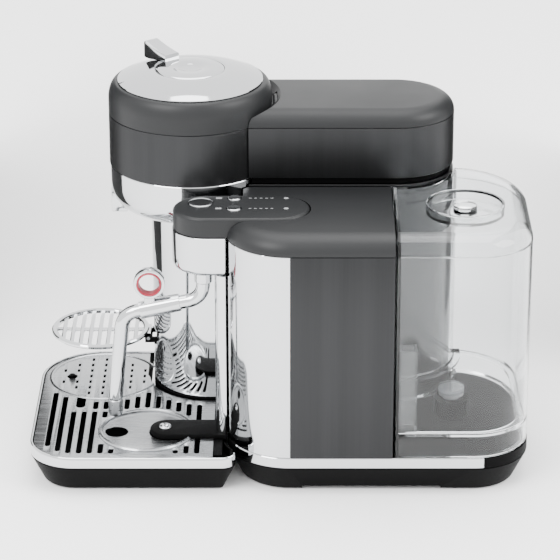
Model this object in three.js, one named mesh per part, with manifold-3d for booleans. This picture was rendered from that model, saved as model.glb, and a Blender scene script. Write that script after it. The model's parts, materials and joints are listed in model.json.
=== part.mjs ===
// A pod coffee machine with a milk steam wand, in millimetres.
// The drip tray is at the front (-Y), the water tank at the back (+Y) and the steam side faces +X.
// +Z is up.
// The origin is on the table, under the middle of the machine's box.
import * as THREE from "three";
import { mergeVertices } from "three/addons/utils/BufferGeometryUtils.js";
import Module from "manifold-3d";

const wasm = await Module();
wasm.setup();

// ---- driving dimensions -------------------------------------------------------------------
const GAP = 0.4; // between pieces that touch
const WALL = 2.4; // moulded and pressed walls
const NEAR = 122; // steam side of the base
const FAR = -102; // brew side of the base
const FRONT = -213.5; // nose of the drip tray
const REAR = 213.5; // back of the water tank's base

const FOOT_HEIGHT = 4;
const FEET = [
  { name: "foot_front", x: [-88, 92], y: [-24, 8] },
  { name: "foot_rear", x: [-30, 92], y: [164, 190] },
];
const SKIRT_BOTTOM = 1.2;
const BASE_TOP = 24.4; // black base below, bright strip above
const TRIM_TOP = 34.4;
const TAPER = 11; // how far the base draws in towards the table

const PANEL_TOP = 217.6; // top edge of the side panels, and of the tank
const ROOF_TOP = 233.8;
const SHOULDER = 18; // inward run of the roof's rounded edge
const CORNER = 54; // radius of the chrome front corner
const SEAM_Y = 9.7; // chrome wrap meets brushed side panel
const BLOCK_FRONT = -44.3; // front face of the steam-side block
const BLOCK_REAR = 96.4;

const COLUMN = { x: -51, r: 51, front: -61, rear: 101 }; // round-ended brew column
const ARM = { bottom: 236, trimTop: 241.2, sideTop: 287, top: 300.5 };
const HEAD = { x: -51, y: -76.5, r: 71, bottom: 240.6, sideTop: 287, capTop: 314, capR: 63.5 };
const BOWL_BOTTOM = 199;
const HUB_R = 29.7; // round hub of the lock lever
const LEVER = { inner: 25, outer: 56.5, width: 15, turn: 220 }; // reach from the head's axis, and its way
const SPOUT = { y: HEAD.y - 63, bottom: 196, bore: 3.6 };
const HINGE = { y: -2, z: 293.6, r: 1.7, knuckle: 3.4, halfWidth: 12 };

const NOSE = { x: 51, r: 29.5, front: -90, bottom: 183 }; // steam nose, a round-ended box
const PANEL = { x: 51, r: 28, front: -89, rear: 26.5, top: 235.2 }; // control panel on top of it
const BUTTONS = [
  { name: "start_button", x: 41.2, y: -65.8, r: 10.4 },
  { name: "milk_button", x: 54.6, y: -37.3, r: 6.1 },
  { name: "cup_size_button", x: 30.6, y: -37.3, r: 5.8 },
];

const TANK = { front: 98.5, rear: 213, nearR: 48, farR: 67, floor: 56, wall: 2.5 };
const VALVE = { x: 30, y: 150, r: 11 };
const LID_KNOB = { x: 38, y: 158, r: 31 };

const JUG = { x: 65, y: -114, r: 42 }; // jug rest in the grid
const CUP = { x: -48, y: -157, r: 48 }; // cup recess in the grid
const GRID = { bottom: 32, top: 33.6, rear: -56, pitch: 9.15, slot: 4.4 };
const GRIP_HOLE = [[-6, 19], [-178.6, -170.6]]; // fingertip hole that lifts the grid
const COLUMN_HOLE = [[-56, -49], [-133, -119]]; // drain hole in front of the column
const LEDGE = 3; // the tray's wall stands this far inside its bright rim
const FLOAT = { x: -47, y: -186 };
const SENSOR = { x: 65, y: -98, halfWidth: 15.5, front: -111, top: 37 };
const SUPPORT = { y: -159.5, r: 43.5, top: 80.6, bottom: 77.4 }; // fold-up cup support
const SUPPORT_PIN = { y: -116.5, z: 74.6, r: 1.6 };

const WAND = { x: 52.5, y: -64, r: 6, tipY: -141.5, tipZ: 43, bend: 14 };
const SLOPE = { rear: [-64.3, 152.6], front: [-133.3, 138.4] }; // y and z of the wand's two corners
const GLAND = { x: 30, z: 14.5 }; // cord entry in the back of the base
const BIN = { y: [-4, 88], z: [58, 140], depth: 88 }; // used-capsule drawer in the brew column
const MOTOR = { x: -51, y: 26, pulley: 10 };
const PULLEY = { r: 16, z: [203.4, 206.4] }; // capsule spin belt
const RING = { y: -110, z: 166.6, outer: 13.4, inner: 9 };

const ARC = 8; // facets in a quarter of a large arc
const HEAD_ROUND = 36;
const ROUND = 20; // facets round a small turned part

// ---- materials ----------------------------------------------------------------------------
const paint = (color, roughness, metalness) => ({ color, roughness, metalness });
const CHROME = paint(0xe6e8ea, 0.08, 1);
const STEEL = paint(0xb9bcbe, 0.3, 1);
const BRUSHED = paint(0x56585a, 0.36, 1);
const SATIN = paint(0x4b4d4e, 0.5, 0.4);
const BLACK = paint(0x0c0c0d, 0.5, 0);
const RUBBER = paint(0x151515, 0.9, 0);
const CLEAR = { color: 0xe9eef0, roughness: 0.08, metalness: 0, transparent: true, opacity: 0.35 };
const RED = paint(0x8e1626, 0.5, 0);
const BOARD = paint(0x1d5a37, 0.6, 0);
const COPPER = paint(0xb4713d, 0.35, 1);
const GREY = paint(0x8c8f91, 0.6, 0);

// ---- shape helpers ------------------------------------------------------------------------
const point = (x, y) => new THREE.Vector2(x, y);

// A closed body for the boolean library, from a three.js geometry.
function solid(geometry) {
  const bare = geometry.clone();
  bare.deleteAttribute("normal");
  bare.deleteAttribute("uv");
  const merged = mergeVertices(bare, 1e-3);
  const index = merged.index.array;
  const kept = [];
  for (let i = 0; i < index.length; i += 3) {
    const [a, b, c] = [index[i], index[i + 1], index[i + 2]];
    if (a !== b && b !== c && c !== a) kept.push(a, b, c);
  }
  return new wasm.Manifold(
    new wasm.Mesh({
      numProp: 3,
      vertProperties: merged.attributes.position.array,
      triVerts: new Uint32Array(kept),
    }),
  );
}

function geometryOf(body) {
  const mesh = body.getMesh();
  const positions = new Float32Array(mesh.numVert * 3);
  for (let i = 0; i < mesh.numVert; i++) {
    const start = i * mesh.numProp;
    positions.set(mesh.vertProperties.subarray(start, start + 3), i * 3);
  }
  const indexed = new THREE.BufferGeometry()
    .setAttribute("position", new THREE.BufferAttribute(positions, 3))
    .setIndex(new THREE.BufferAttribute(mesh.triVerts, 1));
  const geometry = indexed.toNonIndexed();
  geometry.computeVertexNormals();
  return geometry;
}

const union = (...bodies) => bodies.reduce((all, body) => all.add(body));
const cut = (body, ...tools) => tools.reduce((left, tool) => left.subtract(tool), body);

function block(x, y, z) {
  const geometry = new THREE.BoxGeometry(x[1] - x[0], y[1] - y[0], z[1] - z[0]);
  geometry.translate((x[0] + x[1]) / 2, (y[0] + y[1]) / 2, (z[0] + z[1]) / 2);
  return solid(geometry);
}

// Points along an arc, by degrees from +X towards +Y.
function arc(x, y, r, from, to, facets = ARC) {
  const points = [];
  for (let i = 0; i <= facets; i++) {
    const angle = THREE.MathUtils.degToRad(from + ((to - from) * i) / facets);
    points.push(point(x + r * Math.cos(angle), y + r * Math.sin(angle)));
  }
  return points;
}

// A plan outline that is long in Y, with a half-round front and rear end.
function stadium(x, r, front, rear) {
  return [...arc(x, front, r, 180, 360, 2 * ARC), ...arc(x, rear, r, 0, 180, 2 * ARC)];
}

function roundedBox(x, y, r) {
  return [
    ...arc(x[0] + r, y[0] + r, r, 180, 270),
    ...arc(x[1] - r, y[0] + r, r, 270, 360),
    ...arc(x[1] - r, y[1] - r, r, 0, 90),
    ...arc(x[0] + r, y[1] - r, r, 90, 180),
  ];
}

// A plan outline carried straight up between two heights.
function upright(outline, z0, z1) {
  const shape = new THREE.Shape(outline);
  const geometry = new THREE.ExtrudeGeometry(shape, { depth: z1 - z0, bevelEnabled: false });
  geometry.translate(0, 0, z0);
  return solid(geometry);
}

// A plan outline whose edge is rounded or chamfered over the last stretch of its height.
function edged(outline, z0, z1, rise, run, facets) {
  const geometry = new THREE.ExtrudeGeometry(new THREE.Shape(outline), {
    depth: z1 - z0 - rise,
    bevelEnabled: true,
    bevelThickness: rise,
    bevelSize: run,
    bevelOffset: -run,
    bevelSegments: facets,
  });
  geometry.translate(0, 0, z0);
  return solid(geometry);
}

const HUGE = 400;
const above = (z) => block([-HUGE, HUGE], [-HUGE, HUGE], [z, HUGE]);
const below = (z) => block([-HUGE, HUGE], [-HUGE, HUGE], [-HUGE, z]);

// A slab with a rounded top edge and a flat underside.
function crowned(outline, z0, z1, rise, run, facets = 4) {
  return edged(outline, z0, z1, rise, run, facets).subtract(below(z0));
}

// A slab that draws in towards its underside.
function tapered(outline, z0, z1, run) {
  const rise = z1 - z0;
  return edged(outline, z1, z1 + rise + 1, rise, run, 1).subtract(above(z1));
}

// A body turned about a vertical line; the profile runs from the axis, round the section and back.
function turned(profile, x, y, facets = ROUND) {
  const points = profile.map(([r, z]) => point(r, z));
  const geometry = new THREE.LatheGeometry(points, facets);
  geometry.rotateX(Math.PI / 2);
  geometry.translate(x, y, 0);
  return solid(geometry);
}

const disc = (x, y, r, z0, z1, facets = ROUND) =>
  turned([[0, z0], [r, z0], [r, z1], [0, z1]], x, y, facets);

const washer = (x, y, r, hole, z0, z1, facets = ROUND) =>
  turned([[hole, z0], [r, z0], [r, z1], [hole, z1], [hole, z0]], x, y, facets);

// A round bar between two points.
function bar(from, to, r, facets = ROUND) {
  const a = new THREE.Vector3(...from);
  const b = new THREE.Vector3(...to);
  const along = b.clone().sub(a);
  const geometry = new THREE.CylinderGeometry(r, r, along.length(), facets);
  const up = new THREE.Vector3(0, 1, 0);
  geometry.applyQuaternion(new THREE.Quaternion().setFromUnitVectors(up, along.normalize()));
  geometry.translate((a.x + b.x) / 2, (a.y + b.y) / 2, (a.z + b.z) / 2);
  return solid(geometry);
}

// A round pipe along a route whose corners are bent to a radius.
function pipe(route, r, bend, steps, facets = 14) {
  const path = new THREE.CurvePath();
  const corners = route.map((p) => new THREE.Vector3(...p));
  let start = corners[0];
  for (let i = 1; i < corners.length - 1; i++) {
    const before = corners[i].clone().sub(corners[i - 1]).normalize();
    const after = corners[i + 1].clone().sub(corners[i]).normalize();
    const enter = corners[i].clone().addScaledVector(before, -bend);
    const leave = corners[i].clone().addScaledVector(after, bend);
    path.add(new THREE.LineCurve3(start, enter));
    path.add(new THREE.QuadraticBezierCurve3(enter, corners[i], leave));
    start = leave;
  }
  path.add(new THREE.LineCurve3(start, corners.at(-1)));
  const section = new THREE.Shape(arc(0, 0, r, 0, 360 - 360 / facets, facets - 1));
  return solid(new THREE.ExtrudeGeometry(section, { steps, extrudePath: path }));
}

const group = new THREE.Group();
group.name = "pod_coffee_machine";

function add(name, body, look) {
  const mesh = new THREE.Mesh(geometryOf(body), new THREE.MeshStandardMaterial(look));
  mesh.name = name;
  group.add(mesh);
}

// ---- plan outlines ------------------------------------------------------------------------
const TRAY_REAR = -36.6; // rear edge of the tray beside the block's round corner
const TRAY_GAP = 0.8; // clearance the tray slides with
const HORN = -114; // front edge of the base beside the round column
const DEGREES = 180 / Math.PI;

const blockPlan = (inset = 0) => [
  point(0.6, BLOCK_FRONT + inset),
  ...arc(NEAR - CORNER, SEAM_Y, CORNER - inset, 270, 360),
  point(NEAR - inset, BLOCK_REAR),
  point(0.6, BLOCK_REAR),
];

const columnPlan = (inset = 0) => stadium(COLUMN.x, COLUMN.r - inset, COLUMN.front, COLUMN.rear);

// The base follows the block, the column and the tank, with a straight edge beside the column.
// Four overlapping plans make it up.
const basePlans = (inset = 0) => [
  [
    point(FAR + inset, -30 + inset),
    point(-10, -30 + inset),
    point(-10, BLOCK_FRONT + inset),
    ...arc(NEAR - CORNER, SEAM_Y, CORNER - inset, 270, 360),
    point(NEAR - inset, TANK.front + 20),
    point(FAR + inset, TANK.front + 20),
  ],
  [
    point(-10 - inset, -16),
    point(FAR + inset, -16),
    point(FAR + inset, HORN + 2 + inset),
    ...arc(COLUMN.x, COLUMN.front, COLUMN.r - inset, 270, 345),
  ].reverse(),
  columnPlan(inset),
  [
    ...arc(NEAR - TANK.nearR, REAR - TANK.nearR, TANK.nearR - inset, 0, 90),
    ...arc(5, REAR - TANK.farR, TANK.farR - inset, 90, 180, 14),
    point(5 - TANK.farR + inset, TANK.front),
    point(NEAR - inset, TANK.front),
  ],
];

// The tray's rear edge follows the block's front and round corner, then the column.
function trayPlan(inset = 0) {
  const corner = Math.max(12 - inset, 1);
  const blockR = CORNER + TRAY_GAP + inset;
  const columnR = COLUMN.r + TRAY_GAP + inset;
  const blockFront = BLOCK_FRONT - TRAY_GAP - inset;
  const blockTurn = Math.asin((TRAY_REAR - inset - SEAM_Y) / blockR) * DEGREES;
  return [
    ...arc(FAR + 56, FRONT + 56, 56 - inset, 180, 270),
    ...arc(NEAR - 40, FRONT + 40, 40 - inset, 270, 360),
    ...arc(NEAR - inset - corner, TRAY_REAR - inset - corner, corner, 0, 90, 4),
    ...arc(NEAR - CORNER, SEAM_Y, blockR, blockTurn, -90, 4),
    point(COLUMN.x + columnR, blockFront),
    ...arc(COLUMN.x, COLUMN.front, columnR, 0, -85, ARC),
    point(COLUMN.x, HORN - 0.6 - inset),
    point(FAR + inset, HORN - 0.6 - inset),
  ];
}

// ---- base ---------------------------------------------------------------------------------
function baseBody(inset, z0, z1) {
  return union(...basePlans(inset).map((plan) => upright(plan, z0, z1)));
}

function makeBase() {
  const skirt = union(...basePlans().map((plan) => tapered(plan, SKIRT_BOTTOM, BASE_TOP, TAPER)));
  const hollow = baseBody(TAPER + WALL, FOOT_HEIGHT + 3, BASE_TOP + 1);
  const arch = block([-HUGE, HUGE], [20, 138], [-1, FOOT_HEIGHT]);
  const footWells = FEET.map(({ x, y }) =>
    block([x[0] - GAP, x[1] + GAP], [y[0] - GAP, y[1] + GAP], [-1, FOOT_HEIGHT + GAP]),
  );
  const glandHole = block([GLAND.x - 7, GLAND.x + 7], [180, HUGE], [GLAND.z - 7, GLAND.z + 7]);
  add("base_pan", cut(skirt, hollow, arch, ...footWells, glandHole), BLACK);
  const gland = block([GLAND.x - 6.6, GLAND.x + 6.6], [192, 209], [GLAND.z - 6.6, GLAND.z + 6.6]);
  const bore = bar([GLAND.x, 180, GLAND.z], [GLAND.x, 230, GLAND.z], 3.6, 16);
  add("cord_gland", gland.subtract(bore), RUBBER);

  const deckHollow = baseBody(8, BASE_TOP - 1, TRIM_TOP - 3);
  const stripRoom = upright(stripPlan(3, 4), BASE_TOP, TRIM_TOP + 1);
  add("base_deck", cut(baseBody(0, BASE_TOP + GAP, TRIM_TOP), deckHollow, stripRoom), BLACK);
  add("base_trim", upright(stripPlan(2.6, 0), BASE_TOP + GAP, TRIM_TOP), CHROME);
}

// The bright strip along the steam side, from the round front corner to the start of the tank's corner.
function stripPlan(thick, extra) {
  const side = (inset, over) => [
    ...arc(NEAR - CORNER, SEAM_Y, CORNER - inset, 300 - over, 360),
    ...arc(NEAR - TANK.nearR, REAR - TANK.nearR, TANK.nearR - inset, 0, 10 + over / 4, 3),
  ];
  return [...side(-extra / 4, extra), ...side(thick, extra).reverse()];
}

function makeFeet() {
  for (const { name, x, y } of FEET) {
    const outline = roundedBox(x, y, 10);
    add(name, tapered(outline, 0, 1.5, 1.2).add(upright(outline, 1.5, FOOT_HEIGHT)), RUBBER);
  }
}

// ---- drip tray ----------------------------------------------------------------------------
function makeTray() {
  const lower = tapered(trayPlan(), SKIRT_BOTTOM, BASE_TOP, TAPER);
  const upper = upright(trayPlan(LEDGE), BASE_TOP - 1, GRID.bottom - GAP);
  const well = upright(trayPlan(TAPER + WALL), SKIRT_BOTTOM + 3, GRID.top + 1);
  const shelf = upright(trayPlan(LEDGE), BASE_TOP - 1, GRID.top).intersect(
    block([4, NEAR], [GRID.rear + GAP, 0], [0, HUGE]),
  );
  const sensorNotch = block(
    [SENSOR.x - SENSOR.halfWidth - 2, SENSOR.x + SENSOR.halfWidth + 2],
    [TRAY_REAR - 30, TRAY_REAR + 10],
    [SENSOR.top - 14, 60],
  );
  add("drip_tray_tub", cut(union(lower, upper).subtract(well).add(shelf), sensorNotch), BLACK);

  const band = upright(trayPlan(), BASE_TOP + GAP, TRIM_TOP).subtract(
    upright(trayPlan(WALL), BASE_TOP - 1, TRIM_TOP + 1),
  );
  const openBack = block([FAR + WALL, NEAR - 13], [HORN - 6, 0], [0, 60]);
  add("drip_tray_band", cut(band, openBack), CHROME);
}

function makeGrid() {
  const z = [GRID.bottom - 1, GRID.top + 1];
  const rearStrip = block([0, NEAR], [GRID.rear, 0], z);
  const plate = upright(trayPlan(LEDGE + GAP), GRID.bottom, GRID.top).subtract(rearStrip);
  const bars = [];
  for (let y = -200; y < GRID.rear - 8; y += GRID.pitch) {
    bars.push(block([-22, 112], [y, y + GRID.slot], z));
  }
  const field = cut(
    upright(trayPlan(12), ...z),
    disc(JUG.x, JUG.y, JUG.r + 3.5, ...z, 36),
    disc(CUP.x, CUP.y, CUP.r + 5, ...z, 36),
    block([22, 26], [-186, -128], z),
    block([-30, 24], [-181, -168], z),
    block([0, NEAR], [GRID.rear - 8, 0], z),
  );
  const slot = SENSOR.halfWidth + 1;
  const tools = [
    union(...bars).intersect(field),
    disc(FLOAT.x, FLOAT.y, 5, ...z, 16),
    disc(JUG.x, JUG.y - 26, 10, GRID.bottom - 1, 60, 20),
    disc(SENSOR.x, SENSOR.front + slot, slot + 0.8, GRID.bottom - 1, 60, 20),
    block([SENSOR.x - slot, SENSOR.x + slot], [SENSOR.front + slot, 0], [GRID.bottom - 1, 60]),
    block(...GRIP_HOLE, z),
    block(...COLUMN_HOLE, z),
  ];
  const rim = washer(JUG.x, JUG.y, JUG.r, JUG.r - 5, GRID.top - 0.5, GRID.top + 2.2, 36);
  add("drip_tray_grid", cut(plate.add(rim), ...tools), STEEL);
}

function makeFloat() {
  const profile = [[0, 8], [13, 8], [13, 18], [2.6, 20], [2.6, GRID.top + 2], [0, GRID.top + 2.6]];
  add("tray_level_float", turned(profile, FLOAT.x, FLOAT.y, 18), RED);
}

function makeJugSensor() {
  const { x, halfWidth, front, top } = SENSOR;
  const z = [top - 5, top];
  const head = disc(x, front + halfWidth, halfWidth, ...z, 24);
  const arm = block([x - halfWidth, x + halfWidth], [front + halfWidth, BLOCK_FRONT - GAP], z);
  const well = disc(x, SENSOR.y, 6, top - 4, top + 1, 20);
  add("jug_sensor_arm", cut(head.add(arm), well), BLACK);
  const button = [[0, top - 1.2], [5.5, top - 1.2], [5.5, top + 1], [4, top + 2.4], [0, top + 2.8]];
  add("jug_sensor_button", turned(button, x, SENSOR.y, 20), CHROME);
  add("jug_sensor_spring", washer(x, SENSOR.y, 4.4, 2.8, top - 3.6, top - 1.6, 16), STEEL);
}

// ---- steam-side block ---------------------------------------------------------------------
function shell(outer, inner, z0, z1) {
  return upright(outer, z0, z1).subtract(upright(inner, z0 - 1, z1 + 1));
}

function makeBlock() {
  const wall = shell(blockPlan(), blockPlan(WALL), TRIM_TOP + GAP, PANEL_TOP);
  const seam = block([-HUGE, HUGE], [SEAM_Y - 0.2, HUGE], [0, HUGE]);
  const bowlRoom = disc(HEAD.x, HEAD.y, HEAD.r + 1, BOWL_BOTTOM - 4, 260, HEAD_ROUND);
  add("front_wrap_panel", cut(wall, seam, bowlRoom), CHROME);

  const sidePanel = block([NEAR - WALL, NEAR], [SEAM_Y + 0.2, BLOCK_REAR], [TRIM_TOP + GAP, PANEL_TOP]);
  add("side_panel", sidePanel, BRUSHED);

  const rearWallY = [BLOCK_REAR - WALL, BLOCK_REAR];
  const rearWall = block([1, NEAR - WALL - GAP], rearWallY, [TRIM_TOP + GAP, PANEL_TOP]);
  add("block_rear_wall", rearWall, BLACK);
  makeRoof(bowlRoom);
}

// The roof's shoulder is carried square to the tank at the back and straight across to the column.
function makeRoof(bowlRoom) {
  const base = PANEL_TOP + GAP;
  const z = [base, ROOF_TOP];
  const shouldered = (plan) => crowned(plan, ...z, ROOF_TOP - base, SHOULDER);
  const sideRound = shouldered(roundedBox([-60, NEAR], [-90, 200], 30));
  const frontRound = shouldered(roundedBox([-60, NEAR], [BLOCK_FRONT, 200], 30));
  const squareBack = block([0.6, NEAR], [60, BLOCK_REAR], z).intersect(sideRound);
  const flushInside = block([0.6, 40], [BLOCK_FRONT, BLOCK_REAR], z).intersect(frontRound);
  const cover = union(shouldered(blockPlan()), squareBack, flushInside);

  const insideY = [BLOCK_FRONT + 20, BLOCK_REAR - WALL - 1];
  const inside = block([3.4, NEAR - 22], insideY, [PANEL_TOP - 1, ROOF_TOP - WALL]);
  const panelGap = 1.1;
  const panelRoom = upright(panelPlan(-panelGap), 200, 250);
  const noseFront = block([-1, PANEL.x + PANEL.r + panelGap], [-HUGE, BLOCK_FRONT + 14], [200, 250]);
  add("roof_cover", cut(cover, inside, panelRoom, noseFront, bowlRoom), SATIN);
}

function panelPlan(inset) {
  return stadium(PANEL.x, PANEL.r - inset, PANEL.front + PANEL.r, PANEL.rear - PANEL.r);
}

function makeNose() {
  const top = PANEL_TOP;
  const outline = (inset) => [
    ...arc(NOSE.x, NOSE.front + NOSE.r, NOSE.r - inset, 180, 360, 2 * ARC),
    point(NOSE.x + NOSE.r - inset, BLOCK_FRONT - GAP),
    point(NOSE.x - NOSE.r + inset, BLOCK_FRONT - GAP),
  ];
  const shellBody = edged(outline(0), NOSE.bottom + 6, top + 6, 6, 5, 3).subtract(above(top));
  const hollow = upright(outline(WALL), NOSE.bottom + WALL, top + 1);
  const socket = disc(WAND.x, WAND.y, 9.5, NOSE.bottom - 1, NOSE.bottom + 6, 24);
  add("steam_nose_housing", cut(shellBody, hollow, socket), CHROME);

  const postHalf = 27;
  const postPlan = (inset) =>
    roundedBox([NOSE.x - postHalf + inset, NOSE.x + postHalf - inset], [-54 + inset, -30], 9 - inset);
  const behind = block([-HUGE, HUGE], [BLOCK_FRONT - GAP, 0], [0, HUGE]);
  const sensorHole = block(
    [SENSOR.x - SENSOR.halfWidth - GAP, SENSOR.x + SENSOR.halfWidth + GAP],
    [-60, -40],
    [SENSOR.top - 5 - GAP, SENSOR.top + GAP],
  );
  const post = shell(postPlan(0), postPlan(WALL), TRIM_TOP + 1, NOSE.bottom - GAP);
  add("steam_post_cover", cut(post, behind, sensorHole), CHROME);

  const fascia = crowned(panelPlan(0), PANEL_TOP + GAP, PANEL.top, 2.4, 2, 2);
  const room = upright(panelPlan(WALL), PANEL_TOP - 1, PANEL.top - WALL);
  const holes = BUTTONS.map((b) => disc(b.x, b.y, b.r + 0.5, PANEL.top - 6, PANEL.top + 1, 24));
  add("control_panel", cut(fascia, room, ...holes), SATIN);
}

function makeButtons() {
  for (const { name, x, y, r } of BUTTONS) {
    const top = PANEL.top + 0.9;
    const profile = [[0, top - 5.4], [r, top - 5.4], [r, top - 0.8], [r - 0.8, top], [0, top]];
    add(name, turned(profile, x, y, 24), CHROME);
  }
  const boardTop = PANEL.top - 12;
  const boardHalf = 24;
  const boardFront = PANEL.front + 22;
  const board = block(
    [PANEL.x - boardHalf, PANEL.x + boardHalf],
    [boardFront, PANEL.rear - 26],
    [boardTop - 1.6, boardTop],
  );
  const corners = [-boardHalf, boardHalf].map((dx) => disc(PANEL.x + dx, boardFront, 4, 210, 240, 12));
  add("control_board", cut(board, ...corners), BOARD);
}

// ---- steam wand ---------------------------------------------------------------------------
const WAND_ROUTE = [
  [WAND.x, WAND.y, NOSE.bottom - 2],
  [WAND.x, ...SLOPE.rear],
  [WAND.x, ...SLOPE.front],
  [WAND.x, WAND.tipY + 0.9, WAND.tipZ + 17],
];

function makeWand() {
  const ball = new THREE.SphereGeometry(8.2, 18, 10);
  ball.rotateX(Math.PI / 2);
  ball.translate(WAND.x, WAND.y, NOSE.bottom + 3);
  const stem = bar([WAND.x, WAND.y, NOSE.bottom - 8], [WAND.x, WAND.y, NOSE.bottom], WAND.r, 14);
  const pipeBody = pipe(WAND_ROUTE, WAND.r, WAND.bend, 24, 10);
  add("steam_pipe", union(solid(ball), stem, pipeBody), CHROME);

  const tip = [WAND.x, WAND.tipY, WAND.tipZ];
  const tipTop = [WAND.x, WAND.tipY + 0.9, WAND.tipZ + 16];
  const coreY = WAND.tipY + 0.3;
  const core = bar([WAND.x, coreY, WAND.tipZ - 1], [WAND.x, coreY, WAND.tipZ + 8], 1.2, 10);
  add("steam_tip", bar(tip, tipTop, WAND.r + 0.4, 20).subtract(core), STEEL);

  // The lift tab: a thin sleeve on the sloping pipe, a short stem and a ring.
  const [rearY, rearZ] = SLOPE.rear;
  const fall = (rearZ - SLOPE.front[1]) / (rearY - SLOPE.front[0]);
  const at = (y) => [WAND.x, y, rearZ + (y - rearY) * fall];
  const sleeve = bar(at(-118), at(-84), WAND.r + 1.8, 20);
  const stemTop = RING.z - RING.outer + 2;
  const stemBar = block([WAND.x - 4, WAND.x + 4], [RING.y - 5, RING.y + 5], [144, stemTop]);
  const pipeRoom = bar(at(-130), at(-74), WAND.r + 0.5, 20);
  const tabRing = ringAcross(RING.outer, RING.outer - 2.4, 4.5);
  add("wand_lift_tab", cut(union(sleeve, stemBar, tabRing), pipeRoom), CHROME);
  add("wand_ring_grip", ringAcross(RING.outer - 2.7, RING.inner, 5.4), RED);
}

// A ring whose hole runs along X, centred on the lift tab.
function ringAcross(outer, inner, halfWidth) {
  const section = [
    point(inner, -halfWidth),
    point(outer, -halfWidth),
    point(outer, halfWidth),
    point(inner, halfWidth),
    point(inner, -halfWidth),
  ];
  const geometry = new THREE.LatheGeometry(section, 30);
  geometry.rotateZ(-Math.PI / 2);
  geometry.translate(WAND.x, RING.y, RING.z);
  return solid(geometry);
}

// ---- brew column, arm and head ------------------------------------------------------------
function makeColumn() {
  const z = [TRIM_TOP + GAP, ARM.bottom - GAP];
  const tube = shell(columnPlan(), columnPlan(WALL), ...z);
  const bowlRoom = disc(HEAD.x, HEAD.y, HEAD.r + 1, BOWL_BOTTOM - 1, 260, HEAD_ROUND);
  const seam = COLUMN.front + 26;
  const front = block([-HUGE, HUGE], [-HUGE, seam + 0.2], [0, HUGE]);
  const rear = block([-HUGE, HUGE], [seam - 0.2, HUGE], [0, HUGE]);
  const hingeSlot = block([HEAD.x - 18, HEAD.x + 18], [-HUGE, -90], [SUPPORT.bottom - 10, SUPPORT.top + 2]);
  add("brew_column_front", cut(tube, rear, bowlRoom, hingeSlot), CHROME);
  const door = block(
    [FAR - 1, FAR + 10],
    [BIN.y[0] - GAP, BIN.y[1] + GAP],
    [BIN.z[0] - GAP, BIN.z[1] + GAP],
  );
  add("brew_column_shell", cut(tube, front, bowlRoom, door), BRUSHED);
}

const armPlan = (inset = 0) => stadium(COLUMN.x, COLUMN.r - inset, HEAD.y, COLUMN.rear);
const headRoom = (extra) => disc(HEAD.x, HEAD.y, HEAD.r + extra, 200, 340, HEAD_ROUND);

function makeArm() {
  const trim = shell(armPlan(3), armPlan(3 + WALL), ARM.bottom, ARM.trimTop);
  add("arm_gasket", trim.subtract(headRoom(1)), BLACK);

  const z = [ARM.trimTop + GAP, ARM.sideTop - GAP];
  const side = shell(armPlan(), armPlan(WALL), ...z);
  const frontFace = upright(armPlan(WALL - 0.1), ...z).intersect(headRoom(1 + WALL));
  add("arm_shell", cut(side.add(frontFace), headRoom(1)), BRUSHED);

  const cap = crowned(armPlan(), ARM.sideTop, ARM.top, ARM.top - ARM.sideTop, 15);
  const hingeBlock = block([HEAD.x - 26, HEAD.x + 26], [-30, 6], [0, 340]);
  const inside = crowned(armPlan(WALL + 4), ARM.sideTop - 1, ARM.top - WALL, 8, 10, 2);
  const hollow = cut(inside, headRoom(10), hingeBlock);
  const bevelProfile = [[0, 295.2], [HEAD.r + 1, 295.2], [HEAD.r + 7.5, ARM.top + 0.1], [0, ARM.top + 0.1]];
  const headBevel = turned(bevelProfile, HEAD.x, HEAD.y, HEAD_ROUND); // lets the head tip back
  const barrelX = [HEAD.x - HINGE.halfWidth - 1, HEAD.x + HINGE.halfWidth + 1];
  const barrelR = HINGE.knuckle + 1.2;
  const barrelRoom = acrossAtHinge(...barrelX, barrelR);
  const pinHole = acrossAtHinge(HEAD.x - 22, HEAD.x + 22, HINGE.r + 0.3);
  const lip = block(barrelX, [-30, HINGE.y + 0.6], [HINGE.z - barrelR, 320]);
  add("arm_cap", cut(cap, hollow, headRoom(1), headBevel, barrelRoom, lip, pinHole), SATIN);
  add("head_hinge_pin", acrossAtHinge(HEAD.x - 21, HEAD.x + 21, HINGE.r), STEEL);
}

// A round body along the head's hinge line.
const acrossAtHinge = (x0, x1, r) => bar([x0, HINGE.y, HINGE.z], [x1, HINGE.y, HINGE.z], r, 20);

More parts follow.
